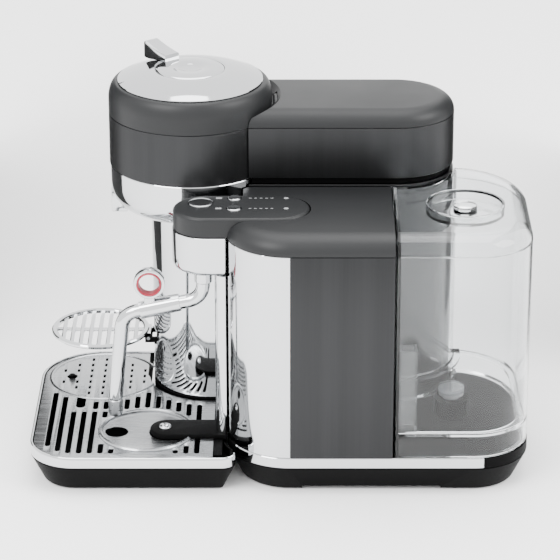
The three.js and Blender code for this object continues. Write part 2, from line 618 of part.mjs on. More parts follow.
function makeHead() {
  const { x, y, r } = HEAD;
  const ring = washer(x, y, r, r - WALL, HEAD.bottom + GAP, HEAD.sideTop - GAP, HEAD_ROUND);
  add("head_ring", ring, BRUSHED);

  const steps = 5;
  const shoulder = [];
  for (let i = 0; i <= steps; i++) {
    const a = (i / steps) * (Math.PI / 2);
    shoulder.push([r - (r - HEAD.capR) * (1 - Math.cos(a)), HEAD.capTop - 15 + 15 * Math.sin(a)]);
  }
  const capProfile = [
    [r - 5, HEAD.sideTop],
    [r, HEAD.sideTop],
    ...shoulder,
    [r - 10, HEAD.capTop],
    [r - 10, HEAD.capTop - 4],
    [r - 5, HEAD.capTop - 14],
    [r - 5, HEAD.sideTop],
  ];
  const cap = turned(capProfile, x, y, HEAD_ROUND);
  const web = block(
    [x - HINGE.halfWidth, x + HINGE.halfWidth],
    [y + r - 5, HINGE.y],
    [HINGE.z - HINGE.knuckle, HINGE.z + 1.4],
  );
  const knuckle = acrossAtHinge(x - HINGE.halfWidth, x + HINGE.halfWidth, HINGE.knuckle).add(web);
  const pinHole = acrossAtHinge(x - 30, x + 30, HINGE.r + 0.25);
  add("head_cap", cut(cap.add(knuckle), pinHole), SATIN);

  const hubRoom = HUB_R + GAP;
  const domeBase = HEAD.capTop + GAP;
  const domeProfile = [
    [hubRoom, 319.6],
    [HEAD.capR - 4, 310.8],
    [HEAD.capR - 4, domeBase],
    [HEAD.capR - 0.6, domeBase],
    [HEAD.capR - 0.8, domeBase + 1],
    [52, 319.4],
    [40, 322.4],
    [hubRoom, 323.9],
    [hubRoom, 319.6],
  ];
  add("head_dome", turned(domeProfile, x, y, HEAD_ROUND), CHROME);

  const plate = washer(x, y, r - WALL - 1, 30, HEAD.bottom + 10, HEAD.bottom + 13, 30);
  add("piercing_plate", plate, BLACK);
  const low = HEAD.bottom;
  const needle = turned([[0, low - 2], [1.6, low + 3], [1.6, low + 9.5], [0, low + 9.5]], x, y, 10);
  const disk = disc(x, y, 29.4, low + 9, low + 14, 36);
  const neck = disc(x, y, 12, low + 13.5, HEAD.sideTop + 4, 20);
  add("piercing_head", union(disk, neck, needle), STEEL);
}

function makeLever() {
  const { x, y } = HEAD;
  const hubProfile = [
    [0, 316], [8, 316], [8, 319.8], [HUB_R, 319.8], [HUB_R, 323.6],
    [HUB_R - 1.5, 324.4], [12, 325], [10.5, 323.8], [0, 323.4],
  ];
  const hub = turned(hubProfile, x, y, 30);
  const { inner, outer, width, turn } = LEVER;
  const side = new THREE.Shape([
    point(inner, 324),
    point(30.4, 324.6),
    point(outer - 1, 321),
    point(outer, 322),
    point(outer, 335.4),
    point(outer - 1.2, 336.5),
    point(inner, 330.4),
  ]);
  const geometry = new THREE.ExtrudeGeometry(side, { depth: width, bevelEnabled: false });
  geometry.translate(0, 0, -width / 2);
  geometry.rotateX(Math.PI / 2);
  geometry.rotateZ(THREE.MathUtils.degToRad(turn));
  geometry.translate(x, y, 0);
  add("lock_lever", hub.add(solid(geometry)), CHROME);
}

function makeBowl() {
  const { x, y, r } = HEAD;
  const bottom = BOWL_BOTTOM;
  const rimTop = HEAD.bottom - GAP;
  const outer = [
    [18, bottom], [46, bottom], [56, bottom + 2], [63, bottom + 6],
    [67.6, bottom + 11.5], [69.8, bottom + 18], [r - 0.5, bottom + 25], [r - 0.4, rimTop],
  ];
  const inner = [
    [r - 4, rimTop], [r - 4, bottom + 24], [64, bottom + 13],
    [58, bottom + 6.4], [44, bottom + 3], [18, bottom + 3],
  ];
  const bowl = turned([...outer, ...inner, outer[0]], x, y, HEAD_ROUND);
  const wayZ = [PULLEY.z[0] - 2, PULLEY.z[1] + 2];
  const beltWay = block([x - PULLEY.r - 3, x + PULLEY.r + 3], [y + 30, y + r + 2], wayZ);
  add("head_bowl", bowl.subtract(beltWay), CHROME);

  const rim = washer(x, y, r - 5, 34, HEAD.bottom - 4, HEAD.bottom - 1.6, 30);
  add("capsule_deck", rim, BLACK);
  const holder = [[0, 209], [24, 209], [33, 236], [33.4, 239.4], [31, 239.4], [22, 212], [0, 212]];
  add("capsule_holder", turned(holder, x, y, 28), STEEL);
  const pulley = disc(x, y, PULLEY.r, PULLEY.z[0] - 0.8, PULLEY.z[1] + 0.8);
  add("holder_pulley", pulley.add(disc(x, y, 3.6, PULLEY.z[1], 208.6, 16)), BLACK);

  // The spout is the low front lip of the bowl, with the outlet inside it.
  const lip = block([x - 12, x + 12], [y - r, y - r + 15], [SPOUT.bottom, bottom + 14]);
  const rounded = disc(x, y, r - 0.5, SPOUT.bottom, bottom + 14, HEAD_ROUND);
  const bowlSolid = turned([[0, bottom], ...outer, [0, rimTop]], x, y, HEAD_ROUND);
  const channel = disc(x, SPOUT.y, SPOUT.bore, 180, 230, 16);
  add("coffee_spout", cut(lip.intersect(rounded), bowlSolid, channel), CHROME);
}

// ---- water tank ---------------------------------------------------------------------------
const tankOutline = (inset) => [
  point(1, TANK.front + inset),
  point(NEAR - inset, TANK.front + inset),
  ...arc(NEAR - TANK.nearR, TANK.rear - TANK.nearR, TANK.nearR - inset, 0, 90),
  ...arc(5, TANK.rear - TANK.farR, TANK.farR - inset, 90, 180, 12),
  point(5 - TANK.farR + inset, 130),
  point(1, 130),
];

const besideColumn = (gap) => upright(columnPlan(-gap), 0, HUGE);

function makeTank() {
  const clearance = 1.2;
  const outer = upright(tankOutline(0), TRIM_TOP + GAP, PANEL_TOP).subtract(besideColumn(clearance));
  const inside = (z0, z1) =>
    upright(tankOutline(TANK.wall), z0, z1).subtract(besideColumn(clearance + TANK.wall));
  const valveHole = disc(VALVE.x, VALVE.y, VALVE.r + GAP, TANK.floor - 6, TANK.floor + 1, 20);
  const body = cut(
    outer,
    inside(TANK.floor, PANEL_TOP + 1),
    inside(TRIM_TOP, TANK.floor - TANK.wall),
    valveHole,
  );
  const duct = block([98, 114], [TANK.front + 1, TANK.front + 18], [TANK.floor - 1, 130]);
  const ductRoom = block([100, 112], [TANK.front + TANK.wall, TANK.front + 16], [TANK.floor, 131]);
  add("water_tank", cut(body.add(duct), ductRoom), CLEAR);

  const { x, y, r } = VALVE;
  const seat = TANK.floor - 3.4;
  const valveProfile = [
    [0, 44], [r - 4, 44], [r - 4, seat], [r, seat],
    [r, TANK.floor + 1.4], [r - 2, TANK.floor + 2.6], [0, TANK.floor + 2.6],
  ];
  add("tank_valve", turned(valveProfile, x, y, 20), GREY);
  add("tank_socket", washer(x, y, r + 4, r - 3, TRIM_TOP + GAP, 50, 24), BLACK);
}

function makeLid() {
  const base = PANEL_TOP + GAP;
  const stretched = (plan) => plan.map((p) => (p.y < 131 ? point(p.x, p.y - 30) : p));
  const domed = (inset) =>
    crowned(stretched(tankOutline(inset)), base, ROOF_TOP - inset, ROOF_TOP - inset - base, SHOULDER);
  const ahead = (y) => block([-HUGE, HUGE], [-HUGE, y], [0, HUGE]);
  const room = cut(domed(TANK.wall), besideColumn(1.2 + TANK.wall), ahead(TANK.front + TANK.wall));
  const shellBody = cut(domed(0), room, besideColumn(1.2), ahead(TANK.front));

  const { x, y, r } = LID_KNOB;
  const pocketBase = ROOF_TOP - 11;
  const pocketWall = disc(x, y, r + TANK.wall, pocketBase, ROOF_TOP - 1, 24).intersect(domed(0));
  const pocket = disc(x, y, r, pocketBase + TANK.wall, ROOF_TOP + 1, 24);
  const knob = disc(x, y, 10, pocketBase + 1, ROOF_TOP - 1.4, 18);
  add("tank_lid", shellBody.add(pocketWall).subtract(pocket).add(knob), CLEAR);
}

// ---- cup support --------------------------------------------------------------------------
function makeCupSupport() {
  const x = HEAD.x;
  const { y, r, top, bottom } = SUPPORT;
  const pin = SUPPORT_PIN;
  const z = [bottom, top];
  const slats = [];
  for (let dy = -32; dy <= 32; dy += 8) {
    const half = Math.sqrt((r - 3) ** 2 - dy ** 2);
    slats.push(block([x - half, x + half], [y + dy - 1.9, y + dy + 1.9], [bottom + 0.4, top - 0.6]));
  }
  const spine = block([x - 3, x + 3], [y - r + 3, y + r - 3], [bottom, top - 1]);
  const ringBody = washer(x, y, r, r - 5, ...z, 40);
  const tab = block([x - 9, x + 9], [y + r - 6, pin.y + 2.4], [pin.z, top - 0.6]);
  const pinHole = bar([x - 30, pin.y, pin.z], [x + 30, pin.y, pin.z], pin.r + 0.2, 14);
  const knuckle = bar([x - 9, pin.y, pin.z], [x + 9, pin.y, pin.z], 3.6, 16);
  add("cup_support", cut(union(ringBody, spine, ...slats, tab, knuckle), pinHole), CHROME);
  const bracket = block([x - 13, x + 13], [-119.5, -104], [71, 76.6]);
  const mouth = block([x - 9.6, x + 9.6], [-130, -107.4], [70, 90]);
  const foldRoom = block([x - 14, x + 14], [-114.4, -100], [75.4, 80]);
  add("cup_support_bracket", cut(bracket, mouth, foldRoom, pinHole), BLACK);
  add("cup_support_pin", bar([x - 12.6, pin.y, pin.z], [x + 12.6, pin.y, pin.z], pin.r, 14), STEEL);
}

// ---- inside -------------------------------------------------------------------------------
// The loop of a belt round two pulleys that stand in line along Y.
function beltPlan(extra) {
  const big = PULLEY.r + extra;
  const small = MOTOR.pulley + extra;
  const lean = THREE.MathUtils.radToDeg(Math.asin((PULLEY.r - MOTOR.pulley) / (MOTOR.y - HEAD.y)));
  return [
    ...arc(HEAD.x, HEAD.y, big, 180 - lean, 360 + lean, 16),
    ...arc(MOTOR.x, MOTOR.y, small, lean, 180 - lean, 12),
  ];
}

function makeInside() {
  add("spin_motor", disc(MOTOR.x, MOTOR.y, 17, 150, 196, 24), GREY);
  const pulley = disc(MOTOR.x, MOTOR.y, MOTOR.pulley, PULLEY.z[0] - 1, PULLEY.z[1] + 1, 24);
  add("motor_pulley", pulley.add(disc(MOTOR.x, MOTOR.y, 2.5, 196 + GAP, PULLEY.z[1], 12)), BLACK);
  const belt = upright(beltPlan(1.9), ...PULLEY.z).subtract(upright(beltPlan(0.4), 190, 210));
  add("spin_belt", belt, RUBBER);

  const bin = block([FAR, FAR + BIN.depth], BIN.y, BIN.z);
  const binRoom = block(
    [FAR + WALL, FAR + BIN.depth - WALL],
    [BIN.y[0] + WALL, BIN.y[1] - WALL],
    [BIN.z[0] + WALL, 200],
  );
  add("capsule_drawer", bin.subtract(binRoom), BLACK);

  const boiler = disc(-51, -58, 30, 50, 150, 28);
  add("brew_heater", boiler.add(disc(-51, -58, 5, 149, 166, 14)), STEEL);
  const steamBlock = block([30, 78], [-20, 30], [96, 168]);
  const stubs = [-6, 16].map((y) => bar([54, y, 160], [54, y, 182], 4, 14));
  add("steam_heater", union(steamBlock, ...stubs), COPPER);
  const pumpBody = bar([56, 20, 66], [56, 78, 66], 19, 24).add(bar([56, 8, 66], [56, 21, 66], 7, 16));
  const cradle = block([34, 78], [24, 74], [TRIM_TOP + GAP, 56]);
  add("water_pump", pumpBody.add(cradle), GREY);
}

makeBase();
makeFeet();
makeTray();
makeGrid();
makeFloat();
makeJugSensor();
makeBlock();
makeNose();
makeButtons();
makeWand();
makeColumn();
makeArm();
makeHead();
makeLever();
makeBowl();
makeTank();
makeLid();
makeCupSupport();
makeInside();

export default group;
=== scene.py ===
# Looks for the pod coffee machine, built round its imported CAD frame. Lengths are in millimetres.
import bmesh
import bpy
import json
import math
from mathutils import Matrix, Vector

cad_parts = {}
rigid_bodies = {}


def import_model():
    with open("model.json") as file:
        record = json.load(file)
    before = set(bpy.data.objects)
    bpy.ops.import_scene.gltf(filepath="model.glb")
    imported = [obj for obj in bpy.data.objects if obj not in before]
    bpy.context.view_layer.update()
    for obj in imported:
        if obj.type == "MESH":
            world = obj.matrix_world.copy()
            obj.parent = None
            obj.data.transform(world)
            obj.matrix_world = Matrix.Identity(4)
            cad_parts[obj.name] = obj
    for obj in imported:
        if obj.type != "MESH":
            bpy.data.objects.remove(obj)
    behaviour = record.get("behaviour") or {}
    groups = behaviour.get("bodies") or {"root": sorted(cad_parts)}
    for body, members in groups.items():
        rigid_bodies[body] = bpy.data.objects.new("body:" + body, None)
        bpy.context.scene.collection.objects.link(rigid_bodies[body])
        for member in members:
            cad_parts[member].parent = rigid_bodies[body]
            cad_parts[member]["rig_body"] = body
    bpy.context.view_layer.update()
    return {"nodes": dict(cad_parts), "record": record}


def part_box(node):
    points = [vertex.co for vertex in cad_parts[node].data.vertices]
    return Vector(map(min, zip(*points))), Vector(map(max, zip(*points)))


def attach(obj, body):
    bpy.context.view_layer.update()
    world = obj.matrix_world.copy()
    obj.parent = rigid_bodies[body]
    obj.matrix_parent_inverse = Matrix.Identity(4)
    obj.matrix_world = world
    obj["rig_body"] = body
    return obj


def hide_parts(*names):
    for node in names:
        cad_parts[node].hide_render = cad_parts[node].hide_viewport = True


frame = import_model()
NODES = frame["nodes"]
MM = 0.001


def span(node):
    """The lowest and highest corner of a CAD node, in millimetres."""
    low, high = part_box(node)
    return low / MM, high / MM


def middle(node):
    """The middle of a node's box in plan."""
    low, high = span(node)
    return (low.x + high.x) / 2, (low.y + high.y) / 2


def heights(node):
    low, high = span(node)
    return low.z, high.z


# ---- places taken from the frame ----
NEAR = span("base_trim")[1].x
FAR = span("brew_column_shell")[0].x
FRONT = span("drip_tray_tub")[0].y
BASE_TOP = span("base_pan")[1].z
TRIM_LOW, TRIM_TOP = heights("base_trim")
PANEL_LOW, PANEL_TOP = heights("side_panel")
ROOF_LOW, ROOF_TOP = heights("roof_cover")
SEAM_Y = span("side_panel")[0].y
BLOCK_FRONT = span("front_wrap_panel")[0].y
BLOCK_REAR = span("side_panel")[1].y
COLUMN_X = middle("brew_column_shell")[0]
COLUMN_R = span("brew_column_shell")[1].x - COLUMN_X
COLUMN_FRONT = span("brew_column_front")[0].y + COLUMN_R
COLUMN_REAR = span("brew_column_shell")[1].y - COLUMN_R
RING_LOW, RING_HIGH = span("head_ring")
HEAD_X = middle("head_ring")[0]
HEAD_R = (RING_HIGH.x - RING_LOW.x) / 2
HEAD_Y = RING_LOW.y + HEAD_R
NOSE_X = middle("steam_nose_housing")[0]
NOSE_R = span("steam_nose_housing")[1].x - NOSE_X
PIPE_X = middle("steam_pipe")[0]
CORNER = 54  # radius of the chrome front corner
SHOULDER = 18  # inward run of the roof's rounded edge
WALL = 2.4  # panels and mouldings


# ---- mesh helpers ----
def arc(x, y, r, start, end, facets=24):
    """Points along an arc, by degrees from +X towards +Y."""
    points = []
    for i in range(facets + 1):
        a = math.radians(start + (end - start) * i / facets)
        points.append((x + r * math.cos(a), y + r * math.sin(a)))
    return points


def stadium(x, r, front, rear, facets=48):
    return arc(x, front, r, 180, 360, facets) + arc(x, rear, r, 0, 180, facets)


def circle(x, y, r, facets=48):
    return arc(x, y, r, 0, 360, facets)[:-1]


def offset(points, inset, closed=True):
    """The outline moved inwards (it runs anticlockwise) with mitred corners."""
    moved = []
    count = len(points)
    for i, (x, y) in enumerate(points):
        before = points[i - 1] if closed or i else points[i]
        after = points[(i + 1) % count] if closed or i < count - 1 else points[i]
        into = Vector((x - before[0], y - before[1]))
        out = Vector((after[0] - x, after[1] - y))
        if into.length < 1e-6:
            into = out
        if out.length < 1e-6:
            out = into
        into.normalize()
        out.normalize()
        n1 = Vector((-into.y, into.x))
        n2 = Vector((-out.y, out.x))
        mean = n1 + n2
        if mean.length < 1e-6:
            mean = n1
        mean.normalize()
        reach = inset / max(mean.dot(n1), 0.35)
        moved.append((x + mean.x * reach, y + mean.y * reach))
    return moved


def finish_mesh(name, bm, sharp=32):
    bmesh.ops.recalc_face_normals(bm, faces=bm.faces)
    mesh = bpy.data.meshes.new(name)
    bm.to_mesh(mesh)
    bm.free()
    obj = bpy.data.objects.new(name, mesh)
    bpy.context.scene.collection.objects.link(obj)
    smooth(obj, sharp)
    return obj


def smooth(obj, sharp=32):
    mesh = obj.data
    mesh.polygons.foreach_set("use_smooth", [True] * len(mesh.polygons))
    mesh.set_sharp_from_angle(angle=math.radians(sharp))


def loft(name, rings, cap=True, loop=False, closed=True, sharp=32):
    """Joins rings of (x, y, z) of equal count; loop joins the last ring to the first."""
    bm = bmesh.new()
    rows = [[bm.verts.new(Vector(p) * MM) for p in ring] for ring in rings]
    pairs = list(zip(rows, rows[1:])) + ([(rows[-1], rows[0])] if loop else [])
    for low, high in pairs:
        count = len(low)
        for i in range(count if closed else count - 1):
            j = (i + 1) % count
            bm.faces.new((low[i], low[j], high[j], high[i]))
    if cap and not loop and closed:
        bm.faces.new(rows[0][::-1])
        bm.faces.new(rows[-1])
    if loop and not closed:
        bm.faces.new([row[0] for row in rows])
        bm.faces.new([row[-1] for row in rows][::-1])
    return finish_mesh(name, bm, sharp)


def swept(name, outline, profile, loop=False, closed=True, sharp=32):
    """Carries a profile of (inset, z) round an outline."""
    rings = [[(x, y, z) for x, y in offset(outline, inset, closed)] for inset, z in profile]
    return loft(name, rings, cap=not loop, loop=loop, closed=closed, sharp=sharp)


def wall_profile(thick, z0, z1, edge=0.5):
    return [(thick, z0), (edge, z0), (0, z0 + edge), (0, z1 - edge), (edge, z1), (thick, z1)]


def shoulder_profile(z0, z1, run, edge=0.3, steps=10):
    """A slab's side with a rounded shoulder up to its flat top."""
    rise = z1 - z0 - edge
    points = [(edge, z0)]
    for i in range(steps + 1):
        a = i / steps * math.pi / 2
        points.append((run * (1 - math.cos(a)), z0 + edge + rise * math.sin(a)))
    return points


def turned(name, profile, x, y, segments=128, axis="Z", sharp=32, loop=False):
    """Revolves (radius, height) points about an upright line, or about a line along X through (y, z)."""
    bm = bmesh.new()
    rows = []
    for r, h in profile:
        count = 1 if r < 1e-6 else segments
        row = []
        for i in range(count):
            a = 2 * math.pi * i / segments
            if axis == "Z":
                p = (x + r * math.cos(a), y + r * math.sin(a), h)
            else:
                p = (h, x + r * math.cos(a), y + r * math.sin(a))
            row.append(bm.verts.new(Vector(p) * MM))
        rows.append(row)
    pairs = list(zip(rows, rows[1:])) + ([(rows[-1], rows[0])] if loop else [])
    for low, high in pairs:
        for i in range(segments):
            j = (i + 1) % segments
            quad = [low[i % len(low)], low[j % len(low)], high[j % len(high)], high[i % len(high)]]
            corners = list(dict.fromkeys(quad))
            if len(corners) > 2:
                bm.faces.new(corners)
    return finish_mesh(name, bm, sharp)


def plate(name, outer, holes, z0, z1, edge=0.4, sharp=32):
    """A flat plate with any holes and a small rounded edge."""
    curve = bpy.data.curves.new(name, "CURVE")
    curve.dimensions = "2D"
    curve.fill_mode = "BOTH"
    curve.extrude = ((z1 - z0) / 2 - edge) * MM
    curve.bevel_depth = edge * MM
    curve.bevel_resolution = 1
    curve.offset = -edge * MM
    for outline in [outer] + holes:
        spline = curve.splines.new("POLY")
        spline.points.add(len(outline) - 1)
        for point, (x, y) in zip(spline.points, outline):
            point.co = (x * MM, y * MM, 0, 1)
        spline.use_cyclic_u = True
    made = bpy.data.objects.new(name, curve)
    bpy.context.scene.collection.objects.link(made)
    bpy.context.view_layer.update()
    mesh = bpy.data.meshes.new_from_object(made.evaluated_get(bpy.context.evaluated_depsgraph_get()))
    bpy.data.objects.remove(made)
    mesh.transform(Matrix.Translation((0, 0, (z0 + z1) / 2 * MM)))
    bm = bmesh.new()
    bm.from_mesh(mesh)
    bmesh.ops.remove_doubles(bm, verts=bm.verts, dist=1e-6)
    return finish_mesh(name, bm, sharp)


def tube(name, points, r, facets=24):
    """A round tube along points, with closed ends."""
    path = [Vector(p) for p in points]
    rings = []
    side = Vector((1, 0, 0))
    for i, p in enumerate(path):
        ahead = path[min(i + 1, len(path) - 1)] - path[max(i - 1, 0)]
        ahead.normalize()
        across = side.cross(ahead).normalized()
        right = ahead.cross(across).normalized()
        ring = []
        for k in range(facets):
            a = 2 * math.pi * k / facets
            q = p + (right * math.cos(a) + across * math.sin(a)) * r
            ring.append((q.x, q.y, q.z))
        rings.append(ring)
    return loft(name, rings)


def modify(obj, kind, **settings):
    """Adds a modifier and applies it."""
    modifier = obj.modifiers.new(kind, kind)
    for key, value in settings.items():
        setattr(modifier, key, value)
    bpy.context.view_layer.update()
    mesh = bpy.data.meshes.new_from_object(obj.evaluated_get(bpy.context.evaluated_depsgraph_get()))
    obj.modifiers.clear()
    old = obj.data
    obj.data = mesh
    mesh.name = obj.name
    bpy.data.meshes.remove(old)
    return obj


def carve(obj, *tools, sharp=32):
    """Cuts each tool out of the object and throws the tools away."""
    for tool in tools:
        modify(obj, "BOOLEAN", operation="DIFFERENCE", solver="EXACT", object=tool)
        bpy.data.objects.remove(tool)
    smooth(obj, sharp)
    return obj


def join(name, *objs, sharp=32):
    """One mesh from several, each still its own closed body."""
    bm = bmesh.new()
    for obj in objs:
        bm.from_mesh(obj.data)
        bpy.data.objects.remove(obj)
    mesh = bpy.data.meshes.new(name)
    bm.to_mesh(mesh)
    bm.free()
    joined = bpy.data.objects.new(name, mesh)
    bpy.context.scene.collection.objects.link(joined)
    smooth(joined, sharp)
    return joined


def box(name, x, y, z, edge=0.5, segments=2):
    bm = bmesh.new()
    bmesh.ops.create_cube(bm, size=1)
    for v in bm.verts:
        v.co = Vector([s[0] + (c + 0.5) * (s[1] - s[0]) for c, s in zip(v.co, (x, y, z))]) * MM
    if edge:
        bmesh.ops.bevel(
            bm, geom=list(bm.edges), offset=edge * MM, segments=segments, affect="EDGES", profile=0.5
        )
    return finish_mesh(name, bm)


def room(x, y, z):
    """A square-edged tool for carve."""
    return box("tool", x, y, z, edge=0)


def open_wall(name, path, z0, z1, edge, thick=WALL):
    """An upright wall along a path that doesn't close."""
    return swept(name, path, wall_profile(thick, z0, z1, edge), loop=True, closed=False)


def keep_inside(obj, tool):
    """Leaves only what lies inside the tool, and throws the tool away."""
    modify(obj, "BOOLEAN", operation="INTERSECT", solver="EXACT", object=tool)
    bpy.data.objects.remove(tool)


# ---- materials ----
class Look:
    """A node material that starts from a principled shader."""

    def __init__(self, name, color, roughness, metallic, **sockets):
        self.material = bpy.data.materials.new(name)
        self.material.use_nodes = True
        self.nodes = self.material.node_tree.nodes
        self.links = self.material.node_tree.links
        self.shader = self.nodes["Principled BSDF"]
        self.shader.inputs["Base Color"].default_value = (*color, 1)
        self.shader.inputs["Roughness"].default_value = roughness
        self.shader.inputs["Metallic"].default_value = metallic
        for key, value in sockets.items():
            self.shader.inputs[key.replace("_", " ")].default_value = value
        self.place = self.nodes.new("ShaderNodeTexCoord").outputs["Object"]

    def noise(self, scale, detail=4, stretch=(1, 1, 1), roughness=0.5):
        mapping = self.nodes.new("ShaderNodeMapping")
        mapping.inputs["Scale"].default_value = stretch
        self.links.new(self.place, mapping.inputs["Vector"])
        texture = self.nodes.new("ShaderNodeTexNoise")
        texture.inputs["Scale"].default_value = scale
        texture.inputs["Detail"].default_value = detail
        texture.inputs["Roughness"].default_value = roughness
        self.links.new(mapping.outputs["Vector"], texture.inputs["Vector"])
        return texture.outputs["Fac"]

    def spread(self, value, low, high, start=0.3, end=0.7):
        ramp = self.nodes.new("ShaderNodeMapRange")
        ramp.inputs["From Min"].default_value = start
        ramp.inputs["From Max"].default_value = end
        ramp.inputs["To Min"].default_value = low
        ramp.inputs["To Max"].default_value = high
        self.links.new(value, ramp.inputs["Value"])
        return ramp.outputs["Result"]

    def roughness(self, value):
        self.links.new(value, self.shader.inputs["Roughness"])

    def colors(self, value, dark, light):
        mix = self.nodes.new("ShaderNodeMix")
        mix.data_type = "RGBA"
        mix.inputs[6].default_value = (*dark, 1)
        mix.inputs[7].default_value = (*light, 1)
        self.links.new(value, mix.inputs[0])
        self.links.new(mix.outputs[2], self.shader.inputs["Base Color"])

    def bump(self, value, strength, distance):
        bump = self.nodes.new("ShaderNodeBump")
        bump.inputs["Strength"].default_value = strength
        bump.inputs["Distance"].default_value = distance
        self.links.new(value, bump.inputs["Height"])
        self.links.new(bump.outputs["Normal"], self.shader.inputs["Normal"])


def chrome_look(name="chrome", color=(0.6, 0.61, 0.62)):
    look = Look(name, color, 0.05, 1.0)
    smear = look.noise(9, detail=3)
    look.roughness(look.spread(smear, 0.03, 0.075))
    look.colors(look.noise(3, detail=2), tuple(0.96 * c for c in color), color)
    look.bump(look.noise(14, detail=2), 0.03, 0.0006)
    return look.material


def steel_look(name, color=(0.4, 0.41, 0.42), roughness=0.22):
    look = Look(name, color, roughness, 1.0)
    grain = look.noise(420, detail=5, stretch=(1, 0.05, 1))
    look.roughness(look.spread(grain, roughness - 0.05, roughness + 0.08))
    look.colors(grain, tuple(0.9 * c for c in color), color)
    look.bump(grain, 0.05, 0.0002)
    return look.material


def brushed_look(name, color, roughness=0.34):
    """Dark smoked steel with fine upright brush lines."""
    look = Look(name, color, roughness, 1.0, Anisotropic=0.55)
    stretch = (1, 1, 0.012)
    grain = look.noise(900, detail=6, stretch=stretch, roughness=0.65)
    broad = look.noise(60, detail=3, stretch=stretch)
    look.roughness(look.spread(grain, roughness - 0.05, roughness + 0.07))
    mixed = look.nodes.new("ShaderNodeMath")
    mixed.operation = "MULTIPLY_ADD"
    mixed.inputs[1].default_value = 0.55
    look.links.new(grain, mixed.inputs[0])
    look.links.new(look.spread(broad, 0, 0.45, 0.25, 0.75), mixed.inputs[2])
    look.colors(mixed.outputs[0], tuple(0.78 * c for c in color), tuple(1.22 * c for c in color))
    look.bump(grain, 0.12, 0.00015)
    return look.material


def satin_look(name="satin_dark", color=(0.0105, 0.011, 0.0116)):
    look = Look(name, color, 0.42, 0.0, Specular_IOR_Level=0.25)
    fleck = look.noise(1400, detail=3)
    broad = look.noise(12, detail=3)
    look.roughness(look.spread(broad, 0.38, 0.46))
    look.colors(fleck, tuple(0.92 * c for c in color), tuple(1.1 * c for c in color))
    look.bump(fleck, 0.05, 0.0001)
    return look.material


def plastic_look(name, color, roughness=0.45, grain=900, **sockets):
    look = Look(name, color, roughness, 0.0, **sockets)
    fine = look.noise(grain, detail=4)
    look.roughness(look.spread(fine, roughness - 0.06, roughness + 0.08))
    look.colors(look.noise(20, detail=3), tuple(0.85 * c for c in color), tuple(1.15 * c for c in color))
    look.bump(fine, 0.15, 0.00015)
    return look.material


def clear_look(name="clear_plastic"):
    look = Look(name, (0.93, 0.95, 0.955), 0.03, 0.0, Transmission_Weight=1.0, IOR=1.35)
    haze = look.noise(7, detail=4)
    look.roughness(look.spread(haze, 0.015, 0.06))
    look.colors(look.noise(5, detail=2), (0.9, 0.92, 0.93), (0.96, 0.97, 0.975))
    return look.material


CHROME = chrome_look()
STEEL = steel_look("steel")
STEEL_TIP = steel_look("steel_tip", roughness=0.3)
BRUSHED = brushed_look("brushed_dark", (0.032, 0.0325, 0.0335))
SATIN = satin_look()
BLACK = plastic_look("black_plastic", (0.001, 0.001, 0.0011), 0.5, Specular_IOR_Level=0.05)
RUBBER = plastic_look("rubber", (0.003, 0.003, 0.003), 0.75, grain=300, Specular_IOR_Level=0.1)
CLEAR = clear_look()
RED = plastic_look("red_silicone", (0.3, 0.012, 0.03), 0.38, grain=500)
BOARD = plastic_look("circuit_board", (0.02, 0.12, 0.05), 0.5)
COPPER = steel_look("copper", (0.7, 0.36, 0.2), 0.3)
GREY = plastic_look("grey_plastic", (0.3, 0.31, 0.32), 0.5)
LAMP = plastic_look("lamp_print", (0.25, 0.255, 0.26), 0.4)
FINISH = {
    "chrome": CHROME, "steel": STEEL, "brushed_dark": BRUSHED, "satin_dark": SATIN,
    "black_plastic": BLACK, "rubber": RUBBER, "clear_plastic": CLEAR, "red_silicone": RED,
    "circuit_board": BOARD, "copper": COPPER, "grey_plastic": GREY,
}
SLOT = {part["node"]: part["material_slot"] for part in frame["record"]["subparts"]}


def dress(obj, material):
    obj.data.materials.clear()
    obj.data.materials.append(material)


def stand_for(obj, *nodes, material=None):
    """The piece replaces CAD nodes of one body, rides on it and takes its first node's finish."""
    dress(obj, material or FINISH[SLOT[nodes[0]]])
    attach(obj, NODES[nodes[0]]["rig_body"])
    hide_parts(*nodes)
    return obj


def belong(obj, body, slot, material=None):
    """An extra piece on a body."""
    dress(obj, material or FINISH[slot])
    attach(obj, body)
    return obj


def cylinder_tool(x, y, r, z0, z1, facets=128):
    return turned("tool", [(0, z0), (r, z0), (r, z1), (0, z1)], x, y, facets)


# ---- base and drip tray ----
TAPER = 11
TRAY_BACK = span("drip_tray_tub")[1].y
HORN = span("brew_column_front")[0].y - 2
BASE_LOW = span("base_pan")[0].z
REAR = span("base_pan")[1].y
TANK_R, TANK_FAR_R = 48, 67


def base_outline():
    return (
        [(0.0, BLOCK_FRONT)]
        + arc(NEAR - CORNER, SEAM_Y, CORNER, 270, 360)
        + arc(NEAR - TANK_R, REAR - TANK_R, TANK_R, 0, 90)
        + arc(5, REAR - TANK_FAR_R, TANK_FAR_R, 90, 175.5)
        + arc(COLUMN_X, COLUMN_REAR, COLUMN_R, 103, 180)
        + [(FAR, HORN + 2)]
        + arc(COLUMN_X, COLUMN_FRONT, COLUMN_R, 270, 360)
    )


def taper_profile(z0, z1):
    return [(TAPER + 0.9, z0), (TAPER, z0 + 0.8), (0.4, z1 - 0.6), (0.8, z1)]


